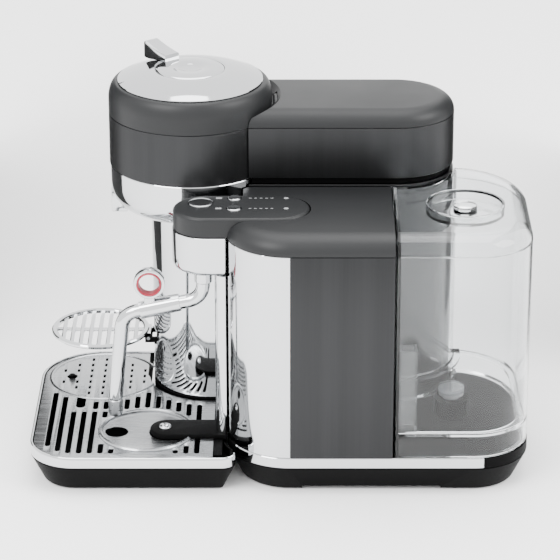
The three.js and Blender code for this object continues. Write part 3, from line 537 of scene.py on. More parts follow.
def build_base():
    skirt = swept("base_skirt", base_outline(), taper_profile(BASE_LOW, BASE_TOP))
    arch = room((-300, 300), (20, 138), (-5, 4))
    carve(skirt, arch)
    stand_for(skirt, "base_pan")

    deck_low = span("base_deck")[0].z
    deck = swept("base_deck_top", base_outline(), [(3.2, deck_low), (3.2, TRIM_TOP - 0.2), (4, TRIM_TOP)])
    rear_edge = swept("base_rear_band", base_outline(), wall_profile(3, deck_low, TRIM_TOP, 0.6), loop=True)
    low, high = span("base_trim")
    carve(rear_edge, room((low.x - 1, NEAR + 5), (low.y - 1, high.y + 1), (20, 40)))
    stand_for(join("base_deck_band", deck, rear_edge), "base_deck")

    trim_path = arc(NEAR - CORNER, SEAM_Y, CORNER, 300, 360)
    trim_path += arc(NEAR - TANK_R, REAR - TANK_R, TANK_R, 0, 10, 6)
    stand_for(open_wall("base_bright_strip", trim_path, TRIM_LOW, TRIM_TOP, 0.7), "base_trim")
    for node in ("foot_front", "foot_rear", "cord_gland"):
        dress(NODES[node], RUBBER)


def tray_outline(inset=0.0):
    """The tray's plan. Its rear edge follows the block's round corner and the column."""
    corner = max(12 - inset, 1)
    block_r = CORNER + 0.8 + inset
    column_r = COLUMN_R + 0.8 + inset
    back = TRAY_BACK - inset
    turn = math.degrees(math.asin((back - SEAM_Y) / block_r))
    return (
        arc(FAR + 56, FRONT + 56, 56 - inset, 180, 270)
        + arc(NEAR - 40, FRONT + 40, 40 - inset, 270, 360)
        + arc(NEAR - inset - corner, back - corner, corner, 0, 90, 12)
        + arc(NEAR - CORNER, SEAM_Y, block_r, turn, -90, 16)
        + [(COLUMN_X + column_r, BLOCK_FRONT - 0.8 - inset)]
        + arc(COLUMN_X, COLUMN_FRONT, column_r, 0, -85)
        + [(COLUMN_X, HORN - 0.6 - inset), (FAR + inset, HORN - 0.6 - inset)]
    )


def tray_rings(profile):
    return [[(x, y, z) for x, y in tray_outline(inset)] for inset, z in profile]


def build_tray():
    profile = taper_profile(BASE_LOW, BASE_TOP) + [(13, BASE_TOP), (13, BASE_LOW + 3)]
    tub = loft("tray_skirt", tray_rings(profile))
    wall = [(4.8, BASE_TOP - 2), (2.8, BASE_TOP - 2), (2.8, GRID_LOW - 0.5), (4.8, GRID_LOW - 0.5)]
    inner = loft("tray_wall", tray_rings(wall), loop=True)
    shelf_z = (BASE_TOP - 1, GRID_TOP)
    near_shelf = box("shelf", (SENSOR_X[1] + 2, NEAR - 9), (-55.6, -48), shelf_z, edge=0.4)
    far_shelf = box("shelf", (5, SENSOR_X[0] - 2), (-55.6, -48.2), shelf_z, edge=0.4)
    sensor_gap = (SENSOR_X[0] - 2, SENSOR_X[1] + 2)
    carve(inner, room(sensor_gap, (TRAY_BACK - 30, TRAY_BACK + 10), (23, 60)))
    stand_for(join("drip_tray_body", tub, inner, near_shelf, far_shelf), "drip_tray_tub")

    path = [(FAR, HORN - 0.6)] + tray_outline()[: 2 * 25 + 13]
    rim = [
        (2.4, TRIM_LOW), (0.6, TRIM_LOW), (0, TRIM_LOW + 0.6),
        (0, TRIM_TOP - 1.4), (0.5, TRIM_TOP - 0.4), (1.3, TRIM_TOP), (2.3, TRIM_TOP - 0.1),
        (2.6, TRIM_TOP - 0.7), (2.6, TRIM_TOP - 1.6), (2.4, TRIM_TOP - 1.8),
    ]
    band = swept("drip_tray_bright_rim", path, rim, loop=True, closed=False)
    stand_for(band, "drip_tray_band")


# ---- drip grid ----
GRID_LOW = span("drip_tray_grid")[0].z
GRID_TOP = GRID_LOW + 1.6
JUG = (65, -114)
JUG_R = 42
CUP = (-48, -157)
CUP_R = 48
FLOAT = middle("tray_level_float")
SENSOR_X = (span("jug_sensor_arm")[0].x, span("jug_sensor_arm")[1].x)
SENSOR_FRONT = span("jug_sensor_arm")[0].y
SENSOR_TOP = span("jug_sensor_arm")[1].z
SENSOR_HALF = (SENSOR_X[1] - SENSOR_X[0]) / 2
SENSOR_MIDDLE = middle("jug_sensor_arm")[0]
BUTTON = middle("jug_sensor_button")


def slot_outline(x0, x1, y, half):
    """A round-ended slot along X."""
    return arc(x0 + half, y, half, 90, 270, 8) + arc(x1 - half, y, half, -90, 90, 8)


def ring_reach(centre, radius, y):
    """Half the width of a circle at a given y, or nothing beyond it."""
    gap = radius * radius - (y - centre[1]) ** 2
    return math.sqrt(gap) if gap > 0 else 0


def grid_slots():
    """Long slots across the near half, clear of the jug rest, the cup recess and the corners."""
    half = 2.2
    slots = []
    for i in range(15):
        y = -197.8 + i * 9.15
        cup = ring_reach(CUP, CUP_R + 6, y)
        column = ring_reach((COLUMN_X, COLUMN_FRONT), COLUMN_R + 13, y)
        start = max(CUP[0] + cup, COLUMN_X + column, -22)
        corner = NEAR - 40
        end = corner + ring_reach((corner, FRONT + 40), 28, y) if y < FRONT + 40 else NEAR - 12
        jug = ring_reach(JUG, JUG_R + 4, y)
        pieces = [(start, JUG[0] - jug), (JUG[0] + jug, end)] if jug else [(start, end)]
        if -186 < y < -128:
            pieces = [run for x0, x1 in pieces for run in ((x0, min(x1, 22)), (max(x0, 26), x1))]
        if abs(y + 174.5) < 8:
            pieces = [(max(x0, 26), x1) for x0, x1 in pieces]
        for x0, x1 in pieces:
            if x1 - x0 > 3 * half:
                slots.append(slot_outline(x0, x1, y, half))
    return slots


def perforations():
    """Small drain holes across the cup recess, in rows that follow its round edge."""
    holes = []
    for row in range(-3, 4):
        for column in range(-3, 4):
            dx, dy = column * 12, row * 12
            x, y = CUP[0] + dx, CUP[1] + dy
            if math.hypot(dx, dy) < CUP_R - 9 and math.hypot(x - FLOAT[0], y - FLOAT[1]) > 10:
                holes.append(slot_outline(x - 3.2, x + 3.2, y, 1.0))
    return holes


def build_grid():
    holes = grid_slots() + perforations()
    holes.append(circle(*FLOAT, 4.6, 32))
    holes.append(slot_outline(-6, 19, -174.6, 4))
    top = plate("grid_plate", tray_outline(3.4), holes, GRID_LOW, GRID_TOP, edge=0.35)
    radius = SENSOR_HALF + 1.2
    gate_x = (SENSOR_MIDDLE - radius, SENSOR_MIDDLE + radius)
    rest_room = cylinder_tool(*JUG, JUG_R - 3.5, GRID_LOW - 2, GRID_TOP + 5)
    sensor_room = room(gate_x, (SENSOR_FRONT + 15, 0), (20, 60))
    shelf_room = room((0, NEAR), (-56, 0), (20, 60))
    carve(top, rest_room, sensor_room, shelf_room)

    rim = [
        (JUG_R - 4, GRID_LOW + 0.3), (JUG_R, GRID_LOW + 0.3), (JUG_R, GRID_TOP + 0.6),
        (JUG_R - 0.8, GRID_TOP + 1.7), (JUG_R - 2.2, GRID_TOP + 2.1), (JUG_R - 3.6, GRID_TOP + 1.4),
        (JUG_R - 4, GRID_TOP + 0.4),
    ]
    ring = turned("grid_ring", rim, *JUG, loop=True)
    dish = [
        (0, GRID_LOW - 0.6), (JUG_R - 8, GRID_LOW - 0.6), (JUG_R - 3.8, GRID_LOW + 0.6),
        (JUG_R - 3.8, GRID_LOW + 1.4), (JUG_R - 8, GRID_LOW + 0.2), (0, GRID_LOW + 0.2),
    ]
    disc = turned("grid_dish", dish, *JUG)
    hole = cylinder_tool(JUG[0], JUG[1] - 26, 10, 20, 50, 64)
    nose_y = SENSOR_FRONT + radius - 1
    nose = cylinder_tool(SENSOR_MIDDLE, nose_y, radius, 20, 50, 64)
    carve(disc, hole, nose, room(gate_x, (nose_y, 0), (20, 60)))
    carve(ring, room(gate_x, (JUG[1], 0), (20, 60)))

    cup_rim = [
        (CUP_R - 2.2, GRID_TOP - 0.2), (CUP_R + 1.6, GRID_TOP - 0.2), (CUP_R + 0.8, GRID_TOP + 0.5),
        (CUP_R - 0.4, GRID_TOP + 0.8), (CUP_R - 1.6, GRID_TOP + 0.4),
    ]
    cup_ring = turned("grid_cup_ring", cup_rim, *CUP, loop=True)
    column = cylinder_tool(COLUMN_X, COLUMN_FRONT, COLUMN_R + 3.8, 20, 50)
    carve(cup_ring, column)
    stand_for(join("drip_grid", top, ring, disc, cup_ring), "drip_tray_grid")
    dress(NODES["tray_level_float"], BLACK)


def build_jug_sensor():
    back = BLOCK_FRONT - 0.4
    outline = arc(SENSOR_MIDDLE, SENSOR_FRONT + SENSOR_HALF, SENSOR_HALF, 180, 360)
    outline += [(SENSOR_X[1], back), (SENSOR_X[0], back)]
    side = [(0.6, -5), (0, -4.4), (0, -1.2), (0.5, -0.3), (1.4, 0)]
    arm = swept("jug_sensor_bar", outline, [(inset, SENSOR_TOP + drop) for inset, drop in side])
    carve(arm, cylinder_tool(*BUTTON, 6, SENSOR_TOP - 4, SENSOR_TOP + 5, 48))
    stand_for(arm, "jug_sensor_arm")
    low, high = span("jug_sensor_button")
    dome = [(0, low.z), (5.5, low.z)]
    for i in range(9):
        a = i / 8 * math.pi / 2
        dome.append((5.5 * math.cos(a), high.z - 2.2 + 2.2 * math.sin(a)))
    dome[-1] = (0, high.z)
    stand_for(turned("jug_sensor_dome", dome, *BUTTON, 48), "jug_sensor_button")


# ---- steam-side block ----
def block_outline():
    return [(0.6, BLOCK_FRONT)] + arc(NEAR - CORNER, SEAM_Y, CORNER, 270, 360, 48)


def bowl_tool():
    return cylinder_tool(HEAD_X, HEAD_Y, HEAD_R + 1, 197, 262)


def build_block():
    path = block_outline()[:-1] + [(NEAR, SEAM_Y - 0.25)]
    wrap = open_wall("front_chrome_wrap", path, PANEL_LOW, PANEL_TOP, 0.35)
    carve(wrap, bowl_tool())
    stand_for(wrap, "front_wrap_panel")

    side_y, side_z = (SEAM_Y + 0.25, BLOCK_REAR), (PANEL_LOW, PANEL_TOP)
    side = box("side_brushed_panel", (NEAR - WALL, NEAR), side_y, side_z, edge=0.35)
    stand_for(side, "side_panel")

    # The roof's slab runs on past the column and the tank, and is then cut back to its own room.
    slab = [(-120.0, BLOCK_FRONT)] + arc(NEAR - CORNER, SEAM_Y, CORNER, 270, 360, 48)
    slab += [(NEAR, 200.0), (-120.0, 200.0)]
    roof = swept("roof_shell", slab, shoulder_profile(ROOF_LOW, ROOF_TOP, SHOULDER))
    keep_inside(roof, room((0.6, NEAR + 5), (-100, BLOCK_REAR), (200, 260)))
    low, high = span("control_panel")
    x = middle("control_panel")[0]
    r = (high.x - low.x) / 2
    groove = stadium(x, r + 1.0, low.y + r, high.y - r)
    panel_room = plate("tool", groove, [], 205, 250, edge=0)
    front_room = room((-5, x + r + 1.0), (-120, BLOCK_FRONT + 14), (205, 250))
    carve(roof, panel_room, front_room, bowl_tool())
    stand_for(roof, "roof_cover")
    dress(NODES["block_rear_wall"], BLACK)


def build_nose():
    low, high = span("steam_nose_housing")
    outline = arc(NOSE_X, low.y + NOSE_R, NOSE_R, 180, 360, 64)
    outline += [(NOSE_X + NOSE_R, high.y), (NOSE_X - NOSE_R, high.y)]
    profile = [(10, low.z), (6, low.z)]
    for i in range(9):
        a = i / 8 * math.pi / 2
        profile.append((6 - 6 * math.sin(a), low.z + 6 - 6 * math.cos(a)))
    profile += [(0, PANEL_TOP - 0.3), (0.4, PANEL_TOP), (3, PANEL_TOP)]
    nose = swept("steam_nose_shell", outline, profile)
    socket = cylinder_tool(PIPE_X, WAND_Y, 9.5, low.z - 1, low.z + 12, 64)
    carve(nose, socket)
    stand_for(nose, "steam_nose_housing")

    low, high = span("steam_post_cover")
    r = 9
    path = [(low.x, high.y)] + arc(low.x + r, low.y + r, r, 180, 270)
    path += arc(high.x - r, low.y + r, r, 270, 360) + [(high.x, high.y)]
    post = open_wall("steam_post_shell", path, low.z, high.z, 0.3)
    sensor_x = (SENSOR_X[0] - 0.4, SENSOR_X[1] + 0.4)
    carve(post, room(sensor_x, (-70, -40), (SENSOR_TOP - 5.4, SENSOR_TOP + 0.4)))
    stand_for(post, "steam_post_cover")


KEYS = {
    "start_button": "start_key_cap",
    "milk_button": "milk_key_cap",
    "cup_size_button": "cup_size_key_cap",
}


def build_control_panel():
    low, high = span("control_panel")
    x = middle("control_panel")[0]
    r = (high.x - low.x) / 2
    outline = stadium(x, r, low.y + r, high.y - r, 64)
    edge = 3.0
    profile = [(3, low.z), (0.3, low.z), (0, low.z + 0.4)]
    for i in range(9):
        a = i / 8 * math.pi / 2
        profile.append((edge * (1 - math.cos(a)), high.z - edge + edge * math.sin(a)))
    panel = swept("control_fascia", outline, profile)
    tools = []
    for node in KEYS:
        a, b = span(node)
        tools.append(cylinder_tool(*middle(node), (b.x - a.x) / 2 + 0.5, high.z - 6, high.z + 4, 64))
    carve(panel, *tools)
    stand_for(panel, "control_panel")

    for node, name in KEYS.items():
        a, b = span(node)
        r, top = (b.x - a.x) / 2, b.z
        profile = [(0, a.z), (r, a.z), (r, top - 0.9), (r - 0.25, top - 0.35), (r - 0.9, top)]
        profile += [(r * 0.55, top - 0.12), (0, top - 0.2)]
        stand_for(turned(name, profile, *middle(node), 96), node)
    lamps(high.z)


def lamps(top):
    """Plain printed dots and bars beside the keys; they carry no letters."""
    z = (top - 0.25, top + 0.04)

    def bar(x, y, width, length):
        return box("m", (x - width / 2, x + width / 2), (y - length / 2, y + length / 2), z, edge=0)

    pieces = []
    for x in (30.6, 54.6):
        pieces.append(bar(x, -50.5, 3.2, 5.0))
        for i in range(5):
            pieces.append(bar(x, -24 + i * 4.6, 1.0, 2.2))
        pieces.append(turned("m", [(0, z[0]), (2, z[0]), (2, z[1]), (0, z[1])], x, 6.5, 24))
    belong(join("panel_lamps", *pieces), "housing", "grey_plastic", LAMP)


# ---- steam wand ----
RING_Y = middle("wand_ring_grip")[1]
WAND_Y = RING_Y + 46
WAND_R = 6
WAND_TIP = (span("steam_tip")[0].y + WAND_R + 0.4, span("steam_tip")[0].z)
PIPE_TOP = span("steam_pipe")[1].z
RING_Z = sum(heights("wand_ring_grip")) / 2
RING_R = span("wand_lift_tab")[1].z - RING_Z
SLOPE_REAR, SLOPE_FRONT = (-64.3, 152.6), (-133.3, 138.4)  # y and z of the wand's two corners


def bent_route(corners, bend, steps=10):
    """Straight runs joined by smooth bends, each starting a set distance before its corner."""
    points = [Vector(corners[0])]
    for i in range(1, len(corners) - 1):
        corner = Vector(corners[i])
        before = (corner - Vector(corners[i - 1])).normalized()
        after = (Vector(corners[i + 1]) - corner).normalized()
        enter, leave = corner - before * bend, corner + after * bend
        for k in range(steps + 1):
            t = k / steps
            points.append(enter * (1 - t) ** 2 + corner * 2 * t * (1 - t) + leave * t * t)
    points.append(Vector(corners[-1]))
    return points


def ring_across(name, profile, sharp=32):
    """A ring with its hole along X, centred on the lift tab."""
    moved = [(r, h + PIPE_X) for r, h in profile]
    return turned(name, moved, RING_Y, RING_Z, 128, axis="X", loop=True, sharp=sharp)


def build_wand():
    route = bent_route(
        [
            (PIPE_X, WAND_Y, PIPE_TOP - 13),
            (PIPE_X, *SLOPE_REAR),
            (PIPE_X, *SLOPE_FRONT),
            (PIPE_X, WAND_TIP[0] + 0.9, WAND_TIP[1] + 17),
        ],
        14,
    )
    pipe = tube("steam_pipe_tube", [tuple(p) for p in route], WAND_R, facets=48)
    ball = []
    centre = PIPE_TOP - 8.2
    for i in range(17):
        a = math.pi * (i / 16 - 0.5)
        ball.append((8.2 * math.cos(a) if 0 < i < 16 else 0, centre + 8.2 * math.sin(a)))
    joint = turned("ball", ball, PIPE_X, WAND_Y, 64)
    collar = turned(
        "collar",
        [
            (0, centre - 18), (7.2, centre - 18), (7.6, centre - 17.4),
            (7.6, centre - 10), (7.2, centre - 9.4), (0, centre - 9),
        ],
        PIPE_X, WAND_Y, 64,
    )
    stand_for(join("steam_pipe_chrome", pipe, joint, collar), "steam_pipe")

    z = WAND_TIP[1]
    tip = turned(
        "steam_tip_nozzle",
        [
            (1.2, z + 8), (1.2, z + 0.4), (3.6, z), (5.4, z + 0.8), (6.2, z + 3),
            (6.4, z + 6), (6.4, z + 15), (5.8, z + 15.8), (1.2, z + 15.8),
        ],
        PIPE_X, WAND_TIP[0] + 0.4, 64, loop=True,
    )
    stand_for(tip, "steam_tip", material=STEEL_TIP)

    fall = (SLOPE_REAR[1] - SLOPE_FRONT[1]) / (SLOPE_REAR[0] - SLOPE_FRONT[0])

    def on_slope(y):
        return (PIPE_X, y, SLOPE_REAR[1] + (y - SLOPE_REAR[0]) * fall)

    stations = (-118, -117.4, -101, -84.6, -84)
    sleeve = tube("sleeve", [on_slope(y) for y in stations], WAND_R + 1.8, facets=64)
    for vertex in sleeve.data.vertices:
        y = vertex.co.y / MM
        if y < -117.6 or y > -84.4:
            axis = Vector(on_slope(y)) * MM
            vertex.co = axis + (vertex.co - axis) * 0.94
    stem = box(
        "stem",
        (PIPE_X - 3.6, PIPE_X + 3.6),
        (RING_Y - 4.6, RING_Y + 4.6),
        (144, RING_Z - RING_R + WALL),
        edge=1.4,
        segments=4,
    )
    outer, inner, half = RING_R, RING_R - WALL, 4.5
    edge_curve = [(outer - 1.2, -half), (outer - 0.3, -half + 0.4), (outer, -half + 1.2)]
    profile = [(inner, -half)] + edge_curve + [(r, -h) for r, h in edge_curve[::-1]] + [(inner, half)]
    stand_for(join("wand_tab_chrome", sleeve, stem, ring_across("ring", profile)), "wand_lift_tab")

    grip_out, grip_in, grip_half, round_off = inner - 0.2, 9.0, 5.4, 1.4
    centre = (grip_out + grip_in) / 2
    reach = (grip_out - grip_in) / 2
    profile = [(grip_out, -half), (grip_out, half)]
    for side in (1, -1):
        for i in range(13):
            a = math.pi * i / 12
            bulge = grip_half - round_off + round_off * math.sin(a)
            profile.append((centre + side * reach * math.cos(a), side * bulge))
    grip = ring_across("wand_ring_red", profile, sharp=50)
    stand_for(grip, "wand_ring_grip")


# ---- brew column, arm and head ----
SUPPORT_TOP = heights("cup_support")[1]
SUPPORT_LOW = SUPPORT_TOP - 3.2
ARM_LOW, ARM_HIGH = span("arm_shell")
CAP_LOW, CAP_HIGH = span("arm_cap")
HEAD_CAP = span("head_cap")
HEAD_TOP_R = HEAD_R - 7.5
HUB_R = 29.7  # the lever's hub
HINGE_Y = middle("head_hinge_pin")[1]
HINGE_Z = sum(heights("head_hinge_pin")) / 2


def build_column():
    low, high = span("brew_column_shell")
    seam = low.y
    far_x, near_x = COLUMN_X - COLUMN_R, COLUMN_X + COLUMN_R
    path = [(far_x, seam - 0.4)] + arc(COLUMN_X, COLUMN_FRONT, COLUMN_R, 180, 360, 64)
    path += [(near_x, seam - 0.4)]
    front = open_wall("column_chrome_front", path, low.z, high.z, 0.3)
    notch = room((HEAD_X - 18, HEAD_X + 18), (-140, -90), (SUPPORT_LOW - 10, SUPPORT_TOP + 2))
    carve(front, bowl_tool(), notch)
    stand_for(front, "brew_column_front")
    path = [(near_x, seam)] + arc(COLUMN_X, COLUMN_REAR, COLUMN_R, 0, 180, 64) + [(far_x, seam)]
    rear = open_wall("column_brushed_shell", path, low.z, high.z, 0.3)
    low, high = span("capsule_drawer")
    door = room((FAR - 3, FAR + 10), (low.y - 0.4, high.y + 0.4), (low.z - 0.4, high.z + 0.4))
    carve(rear, bowl_tool(), door)
    stand_for(rear, "brew_column_shell")


def arm_outline():
    return stadium(COLUMN_X, COLUMN_R, HEAD_Y, COLUMN_REAR, 64)


def head_tool(extra):
    return cylinder_tool(HEAD_X, HEAD_Y, HEAD_R + extra, 200, 340, 192)


def cross_tool(half, r, y, z):
    """A round bar along X, centred on the head."""
    profile = [(0, HEAD_X - half), (r, HEAD_X - half), (r, HEAD_X + half), (0, HEAD_X + half)]
    return turned("tool", profile, y, z, 64, axis="X")


def build_arm():
    walls = wall_profile(WALL, ARM_LOW.z, ARM_HIGH.z, 0.3)
    side = swept("arm_brushed_side", arm_outline(), walls, loop=True)
    carve(side, head_tool(1))
    z0, z1 = ARM_LOW.z + 0.2, ARM_LOW.z + 2.2
    floor = swept("arm_floor", offset(arm_outline(), 1.4), [(3, z0), (0, z0), (0, z1), (3, z1)])
    carve(floor, head_tool(1))
    stand_for(join("arm_brushed_shell", side, floor), "arm_shell")

    rise = CAP_HIGH.z - CAP_LOW.z
    profile = [(6, CAP_LOW.z), (0.25, CAP_LOW.z), (0, CAP_LOW.z + 0.3)]
    for i in range(13):
        a = i / 12 * math.pi / 2
        profile.append((15 * (1 - math.cos(a)), CAP_LOW.z + 0.6 + (rise - 0.6) * math.sin(a)))
    cap = swept("arm_top_cap", arm_outline(), profile)
    top = CAP_HIGH.z + 0.1
    bevel_profile = [(0, 295.2), (HEAD_R + 1, 295.2), (HEAD_R + 7.5, top), (0, top)]
    bevel = turned("tool", bevel_profile, HEAD_X, HEAD_Y, 192)
    knuckle = cross_tool(13, 4.6, HINGE_Y, HINGE_Z)
    lip = room((HEAD_X - 13, HEAD_X + 13), (-30, HINGE_Y + 0.6), (HINGE_Z - 4.6, 320))
    bore = cross_tool(22, 2, HINGE_Y, HINGE_Z)
    carve(cap, head_tool(1), bevel, knuckle, lip, bore)
    stand_for(cap, "arm_cap")
    dress(NODES["arm_gasket"], BLACK)


def build_head():
    low, high = span("head_ring")
    ring = turned(
        "head_brushed_ring",
        [(HEAD_R - inset, z) for inset, z in wall_profile(WALL, low.z, high.z, 0.4)],
        HEAD_X, HEAD_Y, 192, loop=True,
    )
    stand_for(ring, "head_ring")

    base, top = HEAD_CAP[0].z, HEAD_CAP[1].z
    profile = [(HEAD_R - 5, base), (HEAD_R - 0.3, base), (HEAD_R, base + 0.3)]
    for i in range(13):
        a = i / 12 * math.pi / 2
        profile.append((HEAD_TOP_R + (HEAD_R - HEAD_TOP_R) * math.cos(a), top - 15 + 15 * math.sin(a)))
    profile += [(HEAD_R - 10, top), (HEAD_R - 10, top - 4), (HEAD_R - 5, top - 14)]
    cap = turned("head_satin_cap", profile, HEAD_X, HEAD_Y, 192, loop=True)
    barrel = turned(
        "barrel",
        [(1.95, HEAD_X - 12), (3.4, HEAD_X - 12), (3.4, HEAD_X + 12), (1.95, HEAD_X + 12)],
        HINGE_Y, HINGE_Z, 64, axis="X", loop=True,
    )
    web_y, web_z = (HEAD_Y + HEAD_R - 5, HINGE_Y - 2), (HINGE_Z - 3.4, HINGE_Z + 1.4)
    web = box("web", (HEAD_X - 12, HEAD_X + 12), web_y, web_z, edge=0.3)
    stand_for(join("head_top_cap", cap, barrel, web), "head_cap")

    top = HEAD_CAP[1].z
    dome = [
        (HUB_R + 0.4, 319.8), (HEAD_TOP_R - 4, 311.2), (HEAD_TOP_R - 4, top + 0.4),
        (HEAD_TOP_R - 0.8, top + 0.4), (HEAD_TOP_R - 0.6, top + 0.9), (HEAD_TOP_R - 0.8, top + 1.4),
        (58, 317.1), (52, 319.3), (46, 321.0), (40, 322.3), (35, 323.2),
        (HUB_R + 1.0, 323.8), (HUB_R + 0.4, 323.5),
    ]
    stand_for(turned("head_chrome_dome", dome, HEAD_X, HEAD_Y, 192, loop=True, sharp=40), "head_dome")
    dress(NODES["piercing_plate"], BLACK)
    dress(NODES["piercing_head"], STEEL)
    dress(NODES["head_hinge_pin"], STEEL)


def build_lever():
    hub = turned(
        "hub",
        [
            (0, 316.2), (8, 316.2), (8, 320), (HUB_R - 0.3, 320), (HUB_R, 320.3), (HUB_R, 323.3),
            (HUB_R - 0.8, 324), (HUB_R - 2.4, 324.5), (20, 324.9), (12, 325), (10.5, 323.9),
            (6, 323.5), (0, 323.4),
        ],
        HEAD_X, HEAD_Y, 192,
    )
    turn = math.radians(220)
    along = Vector((math.cos(turn), math.sin(turn), 0))
    across = Vector((-along.y, along.x, 0))
    centre = Vector((HEAD_X, HEAD_Y, 0))
    half = 7.5
    inner, outer = 25, 56.5
    stations = []
    for i in range(29):
        r = inner + (outer - inner) * i / 28
        bottom = 324 - 0.06 * (r - inner) - 2.2 * max(0, (r - 30.4) / (outer - 30.4)) ** 1.3
        along_top = min(1, (r - inner) / 30.3)
        top = 330.4 + 6.1 * along_top - 0.7 * math.sin(math.pi * along_top)
        end = outer - r
        if end < 3:
            round_off = 3 - math.sqrt(max(0, 9 - (3 - end) ** 2))
            top -= round_off * 0.7
            bottom += round_off * 0.7
        stations.append((r, max(bottom, 321.1), top))
    rings = []
    for r, bottom, top in stations:
        soft = min(1.5, (top - bottom) / 2.4)
        narrow = half - (0.9 if r > 56 else 0.25 if r > 55 else 0)
        section = []
        u, high_z, low_z = narrow - soft, top - soft, bottom + soft
        for cx, cz, start in ((u, high_z, 0), (-u, high_z, 90), (-u, low_z, 180), (u, low_z, 270)):
            for k in range(6):
                a = math.radians(start + 18 * k)
                section.append((cx + soft * math.cos(a), cz + soft * math.sin(a)))
        rings.append([tuple(centre + along * r + across * u + Vector((0, 0, z))) for u, z in section])
    blade = loft("blade", rings, sharp=40)
    stand_for(join("lock_lever_chrome", hub, blade, sharp=38), "lock_lever")


def build_bowl():
    low, high = span("head_bowl")
    foot, rim = low.z, high.z
    outer = [
        (18, foot), (46, foot), (50.5, foot + 0.7), (56, foot + 2.2), (60, foot + 4.2),
        (63, foot + 6.3), (65.5, foot + 8.8), (67.6, foot + 11.8), (69, foot + 15),
        (69.8, foot + 18.4), (70.3, foot + 22), (HEAD_R - 0.5, foot + 26),
        (HEAD_R - 0.4, rim - 0.5), (HEAD_R - 0.8, rim),
    ]
    inner = [
        (HEAD_R - 4, rim), (HEAD_R - 4, foot + 24), (64, foot + 13),
        (58, foot + 6.4), (44, foot + 3), (18, foot + 3),
    ]
    bowl = turned("head_chrome_bowl", outer + inner, HEAD_X, HEAD_Y, 192, loop=True)
    way = room((HEAD_X - 19, HEAD_X + 19), (HEAD_Y + 30, HEAD_Y + HEAD_R + 2), (201.4, 208.4))
    carve(bowl, way)
    stand_for(bowl, "head_bowl")

    # The spout is the bowl's low front lip, with the outlet inside it.
    spout_low = span("coffee_spout")[0]
    front = HEAD_Y - HEAD_R
    lip_y, lip_z = (front - 1, front + 15), (spout_low.z, foot + 14)
    lip = box("coffee_spout_chrome", (HEAD_X - 12, HEAD_X + 12), lip_y, lip_z, edge=0.5)
    keep_inside(lip, cylinder_tool(HEAD_X, HEAD_Y, HEAD_R - 0.5, 190, 230, 192))
    bowl_solid = turned("tool", [(0, foot)] + outer + [(0, rim)], HEAD_X, HEAD_Y, 192)
    carve(lip, bowl_solid, cylinder_tool(HEAD_X, HEAD_Y - 63, 3.6, 180, 230, 48))
    stand_for(lip, "coffee_spout")
    for node in ("capsule_deck", "holder_pulley"):
        dress(NODES[node], BLACK)
    holder = [
        (0, 209), (23.6, 209), (24.2, 209.5), (33, 236), (33.4, 238.8), (33.1, 239.4),
        (31.6, 239.4), (31, 238.8), (22.2, 212.6), (21.6, 212), (0, 212),
    ]
    stand_for(turned("capsule_cup_steel", holder, HEAD_X, HEAD_Y, 128), "capsule_holder")


# ---- water tank and lid ----
TANK_LOW, TANK_HIGH = span("water_tank")
LID_LOW, LID_HIGH = span("tank_lid")
KNOB = (38, 158)
KNOB_ROOM = 31


def tank_outline():
    """The tank's plan, with its front edge and its hollow beside the round column."""
    gap = COLUMN_R + 1.2
    front_x = COLUMN_X + gap
    hollow = arc(COLUMN_X, COLUMN_REAR, gap, 0, 101.8, 24)
    return (
        [(front_x, TANK_LOW.y), (NEAR, TANK_LOW.y)]
        + arc(NEAR - TANK_R, TANK_HIGH.y - TANK_R, TANK_R, 0, 90, 48)
        + arc(5, TANK_HIGH.y - TANK_FAR_R, TANK_FAR_R, 90, 174.7, 48)
        + hollow[::-1][:-1]
    )


def build_tank():
    outline = tank_outline()
    foot, rim = TANK_LOW.z, TANK_HIGH.z
    wall = [
        (6, foot), (0.8, foot), (0, foot + 0.8), (0, rim - 0.4), (0.3, rim), (2.2, rim),
        (2.5, rim - 0.3), (2.5, 57.4), (3.6, 56), (9, 56), (9, 53.6), (3.4, 53.6),
        (2.6, 52.6), (2.6, foot + 2), (6, foot + 1),
    ]
    shell = swept("tank_wall", outline, wall, loop=True)
    floor = swept("tank_floor", offset(outline, 8), [(0, 53.7), (0, 55.9)])
    x, y = middle("tank_valve")
    carve(floor, cylinder_tool(x, y, 11.4, 40, 60, 64))
    duct = tube_box((98, 114), (TANK_LOW.y + 2.6, TANK_LOW.y + 18), (56, 130), 2)
    stand_for(join("tank_clear_body", shell, floor, duct), "water_tank")

    low, high = span("tank_valve")
    r = (high.x - low.x) / 2
    valve = [
        (0, 44.2), (r - 4.4, 44.2), (r - 4, 44.6), (r - 4, 52.8), (r - 0.4, 52.8),
        (r, 53.2), (r, 57), (r - 0.6, 57.8), (r - 2, 58.6), (0, 58.6),
    ]
    stand_for(turned("tank_valve_body", valve, x, y, 64), "tank_valve")
    dress(NODES["tank_socket"], BLACK)


def tube_box(x, y, z, thick):
    """An upright square duct, open above and below."""
    outline = [(x[0], y[0]), (x[1], y[0]), (x[1], y[1]), (x[0], y[1])]
    return swept("duct", outline, [(thick, z[0]), (0, z[0]), (0, z[1]), (thick, z[1])], loop=True)


